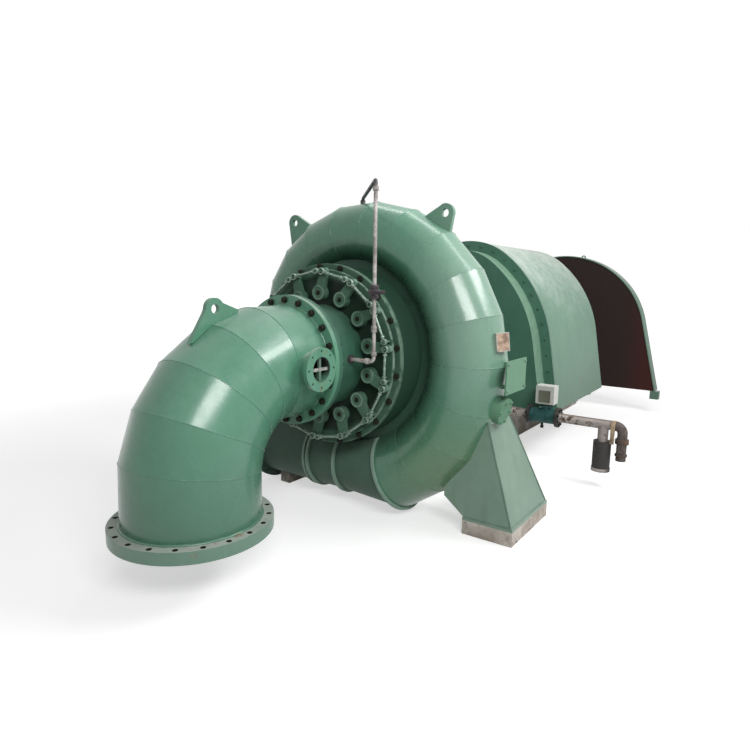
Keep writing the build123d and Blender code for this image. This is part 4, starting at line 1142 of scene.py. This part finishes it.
drain_top = water_z - 0.064
drain_cap_top = drain_top - 0.030
drain_end = drain_top - 0.050
drain = turned_rod((drain_x, water_y, drain_top), (drain_x, water_y, drain_end), radius=0.011)
drain_cap = set_out(
    hexagon_bolt(across=0.026, height=0.014, washer=0.017, thick=0.003),
    [((drain_x, water_y, drain_cap_top), (0, 0, -1))],
)
settle(joined([*water_bolts, drain, drain_cap]), "water_valve_bolts", dark_bolts)
box_low, box_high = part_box("valve_actuator_box")
box_x = (box_low.x + box_high.x) / 2
pipe_radius = 0.0395
bonnet_drop = 0.030
bonnet_height = 0.014
bonnet_seat = Vector((box_x, water_y, box_low.z - bonnet_drop))
bonnet_top = bonnet_seat + Vector((0, 0, bonnet_height))
bonnet = set_out(
    collar(pipe_radius, outer=0.060, height=bonnet_height, edge=0.002), [(bonnet_seat, (0, 0, 1))]
)
bonnet.data.materials.append(teal_enamel)
bonnet_bolts = set_out(
    hexagon_bolt(across=0.013, height=0.007, washer=0.009, thick=0.001),
    circle_seats(bonnet_top, radius=0.050, count=6, facing=(0, 0, 1), first=15),
)
bonnet_bolts.data.materials.append(dark_bolts)
settle(joined([bonnet, bonnet_bolts]), "valve_bonnet", None)
box_enamel = enamel(
    "off-white box enamel", (0.50, 0.50, 0.47), (0.60, 0.60, 0.57), (0.66, 0.65, 0.62),
    dusty=0.4, chips=0.0,
)
dress(box_enamel, "valve_actuator_box")
door_size = (0.100, 0.010, 0.105)
door_proud = 0.004
door_drop = 0.012
door_rim = 0.010
door_recess = 0.004
door_z = (box_low.z + box_high.z) / 2 - door_drop
deselect()
bpy.ops.mesh.primitive_cube_add(size=1)
door = bpy.context.object
bpy.ops.transform.resize(value=door_size)
bpy.ops.transform.translate(value=(box_x, box_low.y - door_proud, door_z))
bpy.ops.object.transform_apply()
pick_faces(door, lambda face: face.normal.y < -0.9)
bpy.ops.mesh.inset(thickness=door_rim)
bpy.ops.transform.translate(value=(0, door_recess, 0))
bpy.ops.object.mode_set(mode="OBJECT")
door_enamel = enamel(
    "dull door enamel", (0.11, 0.115, 0.088), (0.17, 0.165, 0.13), (0.3, 0.26, 0.2),
    dusty=0.3, chips=0.4,
)
settle(door, "actuator_door", door_enamel)
sleeve_low, sleeve_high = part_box("pipe_sleeve")
drop_x = (sleeve_low.x + sleeve_high.x) / 2
sleeve_radius = (sleeve_high.x - sleeve_low.x) / 2
black_wrap, shader, wire, place = new_finish("black wrapped sleeve")
wraps = wire.node(
    "TexWave", {"bands_direction": "Z"}, {"Vector": place, "Scale": 9.0, "Distortion": 2.0}
)
scuffs = place.noise(35, 5, 0.65)
connect(
    shader,
    Base_Color=wire.mix(scuffs.ramp(0.55, 0.72), (0.022, 0.020, 0.019), (0.085, 0.075, 0.068)),
    Roughness=0.55 + scuffs * 0.3,
    Normal=wraps.relief(0.35, 0.004),
)
dress(black_wrap, "pipe_sleeve")
sleeve_band = set_out(
    collar(sleeve_radius - 0.001, sleeve_radius + 0.004, height=0.030, edge=0.001),
    [((drop_x, water_y, sleeve_low.z + 0.001), (0, 0, 1))],
)
settle(sleeve_band, "sleeve_bands", whitewash)
strap_x = 1.522
strap_width = 0.034
strap_tail = 0.150
strap_front = 0.041
strap_thickness = 0.003
strap_band = set_out(
    collar(pipe_radius, pipe_radius + strap_thickness, strap_width, edge=0.001),
    [((strap_x, water_y, water_z), (1, 0, 0))],
)
deselect()
bpy.ops.mesh.primitive_plane_add(
    size=1, location=(strap_x + strap_width / 2, water_y - strap_front, water_z - strap_tail / 2)
)
tail = bpy.context.object
bpy.ops.object.mode_set(mode="EDIT")
bpy.ops.transform.resize(value=(strap_width, strap_tail, 1))
roughened(tail, 0.002, 4, cuts=6)
tail.rotation_euler = (radians(90), 0, 0)
bpy.ops.object.transform_apply()
thicken(tail, strap_thickness, -1)
canvas, shader, wire, place = new_finish("canvas strap")
threads = place.stretched(1, 1, 6).noise(60, 3, 0.6)
soil = place.noise(14, 4, 0.6)
connect(
    shader,
    Base_Color=wire.mix(soil.ramp(0.4, 0.65), (0.40, 0.30, 0.20), (0.17, 0.115, 0.075)),
    Roughness=0.8 + threads * 0.15,
    Normal=threads.relief(0.3, 0.002),
)
settle(joined([strap_band, tail]), "pipe_strap", canvas)
stub_radius = 0.040
stub_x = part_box("water_pipe")[1].x - stub_radius
stub_collars = []
for level, height, outer in ((0.085, 0.040, 0.054), (-0.020, 0.018, 0.049)):
    ring = collar(pipe_radius, outer, height, edge=0.003)
    ring.data.transform(Matrix.Translation((stub_x, water_y, level)))
    stub_collars.append(ring)
rusty_iron = enamel(
    "rusty elbow iron", (0.042, 0.028, 0.021), (0.072, 0.047, 0.034), (0.16, 0.13, 0.10),
    dusty=0.3, chips=0.6, rough=0.6, coat=0,
)
settle(joined(stub_collars), "stub_collars", rusty_iron)

# Studio: a wide pale floor under the set, two high windows on the right and a long roof light.
# The camera stands at eye height, where the photograph was taken from.


def seen_ray(wire):
    """1 for what is seen straight on, in metal or through glass, and 0 for the light itself."""
    rays = ("Camera", "Glossy", "Transmission")
    seen, mirrored, through = (wire.node("LightPath", {}, {}, out=f"Is {ray} Ray") for ray in rays)
    return wire.sum_up("MINIMUM", seen + mirrored + through, 1.0)


deselect()
bpy.ops.mesh.primitive_plane_add(size=160, location=(0.3, 2.0, cad_low[2]))
floor = bpy.context.object
floor.name = "studio_floor"
pale_floor, shader, wire, place = new_finish("studio floor")
spread = wire.node("VectorMath", {"operation": "LENGTH"}, {0: place}, out="Value")
paleness = 0.56 + spread.ramp(3.0, 9.0) * 0.44
connect(
    shader,
    Base_Color=(0.62, 0.62, 0.62, 1),
    Roughness=0.9,
    Specular_IOR_Level=0.1,
    Emission_Color=seen_ray(wire) * paleness,
    Emission_Strength=1.0,
)
floor.data.materials.append(pale_floor)
world = bpy.data.worlds.new("studio light")
bpy.context.scene.world = world
world.use_nodes = True
sky_strength = 0.18 + seen_ray(Wire(world.node_tree)) * 0.82
connect(world.node_tree.nodes["Background"], Color=(1, 1, 1, 1), Strength=sky_strength)
lamps = (
    ("front_window", (4.8, -2.4, 4.5), (0.3, 0.8, 0.7), 3.6, 1.4, 275),
    ("rear_window", (4.2, 3.4, 4.6), (0.3, 1.4, 0.8), 2.8, 1.4, 190),
    ("roof_light", (0.9, 2.8, 5.0), (0.7, 2.8, 0.0), 0.6, 5.0, 75),
)
for name, place, target, width, length, power in lamps:
    light = bpy.data.lights.new(name, "AREA")
    light.shape = "RECTANGLE"
    light.size = width
    light.size_y = length
    light.energy = power
    lamp = bpy.data.objects.new(name, light)
    bpy.context.scene.collection.objects.link(lamp)
    lamp.location = place
    lamp.rotation_euler = (Vector(target) - Vector(place)).to_track_quat("-Z", "Y").to_euler()
camera_data = bpy.data.cameras.new("photographer")
camera_data.lens = 27.0
camera_data.sensor_width = 36.0
camera = bpy.data.objects.new("photographer", camera_data)
bpy.context.scene.collection.objects.link(camera)
stand = Matrix.Translation((2.563, -1.846, 1.372))
yaw, pitch, roll = radians(35.55), radians(9.27), radians(-0.76)
ahead = Vector((-sin(yaw) * cos(pitch), cos(yaw) * cos(pitch), -sin(pitch)))
level = Vector((cos(yaw), sin(yaw), 0))
down = ahead.cross(level)
right = cos(roll) * level + sin(roll) * down
up = sin(roll) * level - cos(roll) * down
camera.matrix_world = stand @ Matrix((right, up, -ahead)).transposed().to_4x4()
bpy.context.scene.camera = camera
bpy.context.scene.view_settings.view_transform = "Standard"
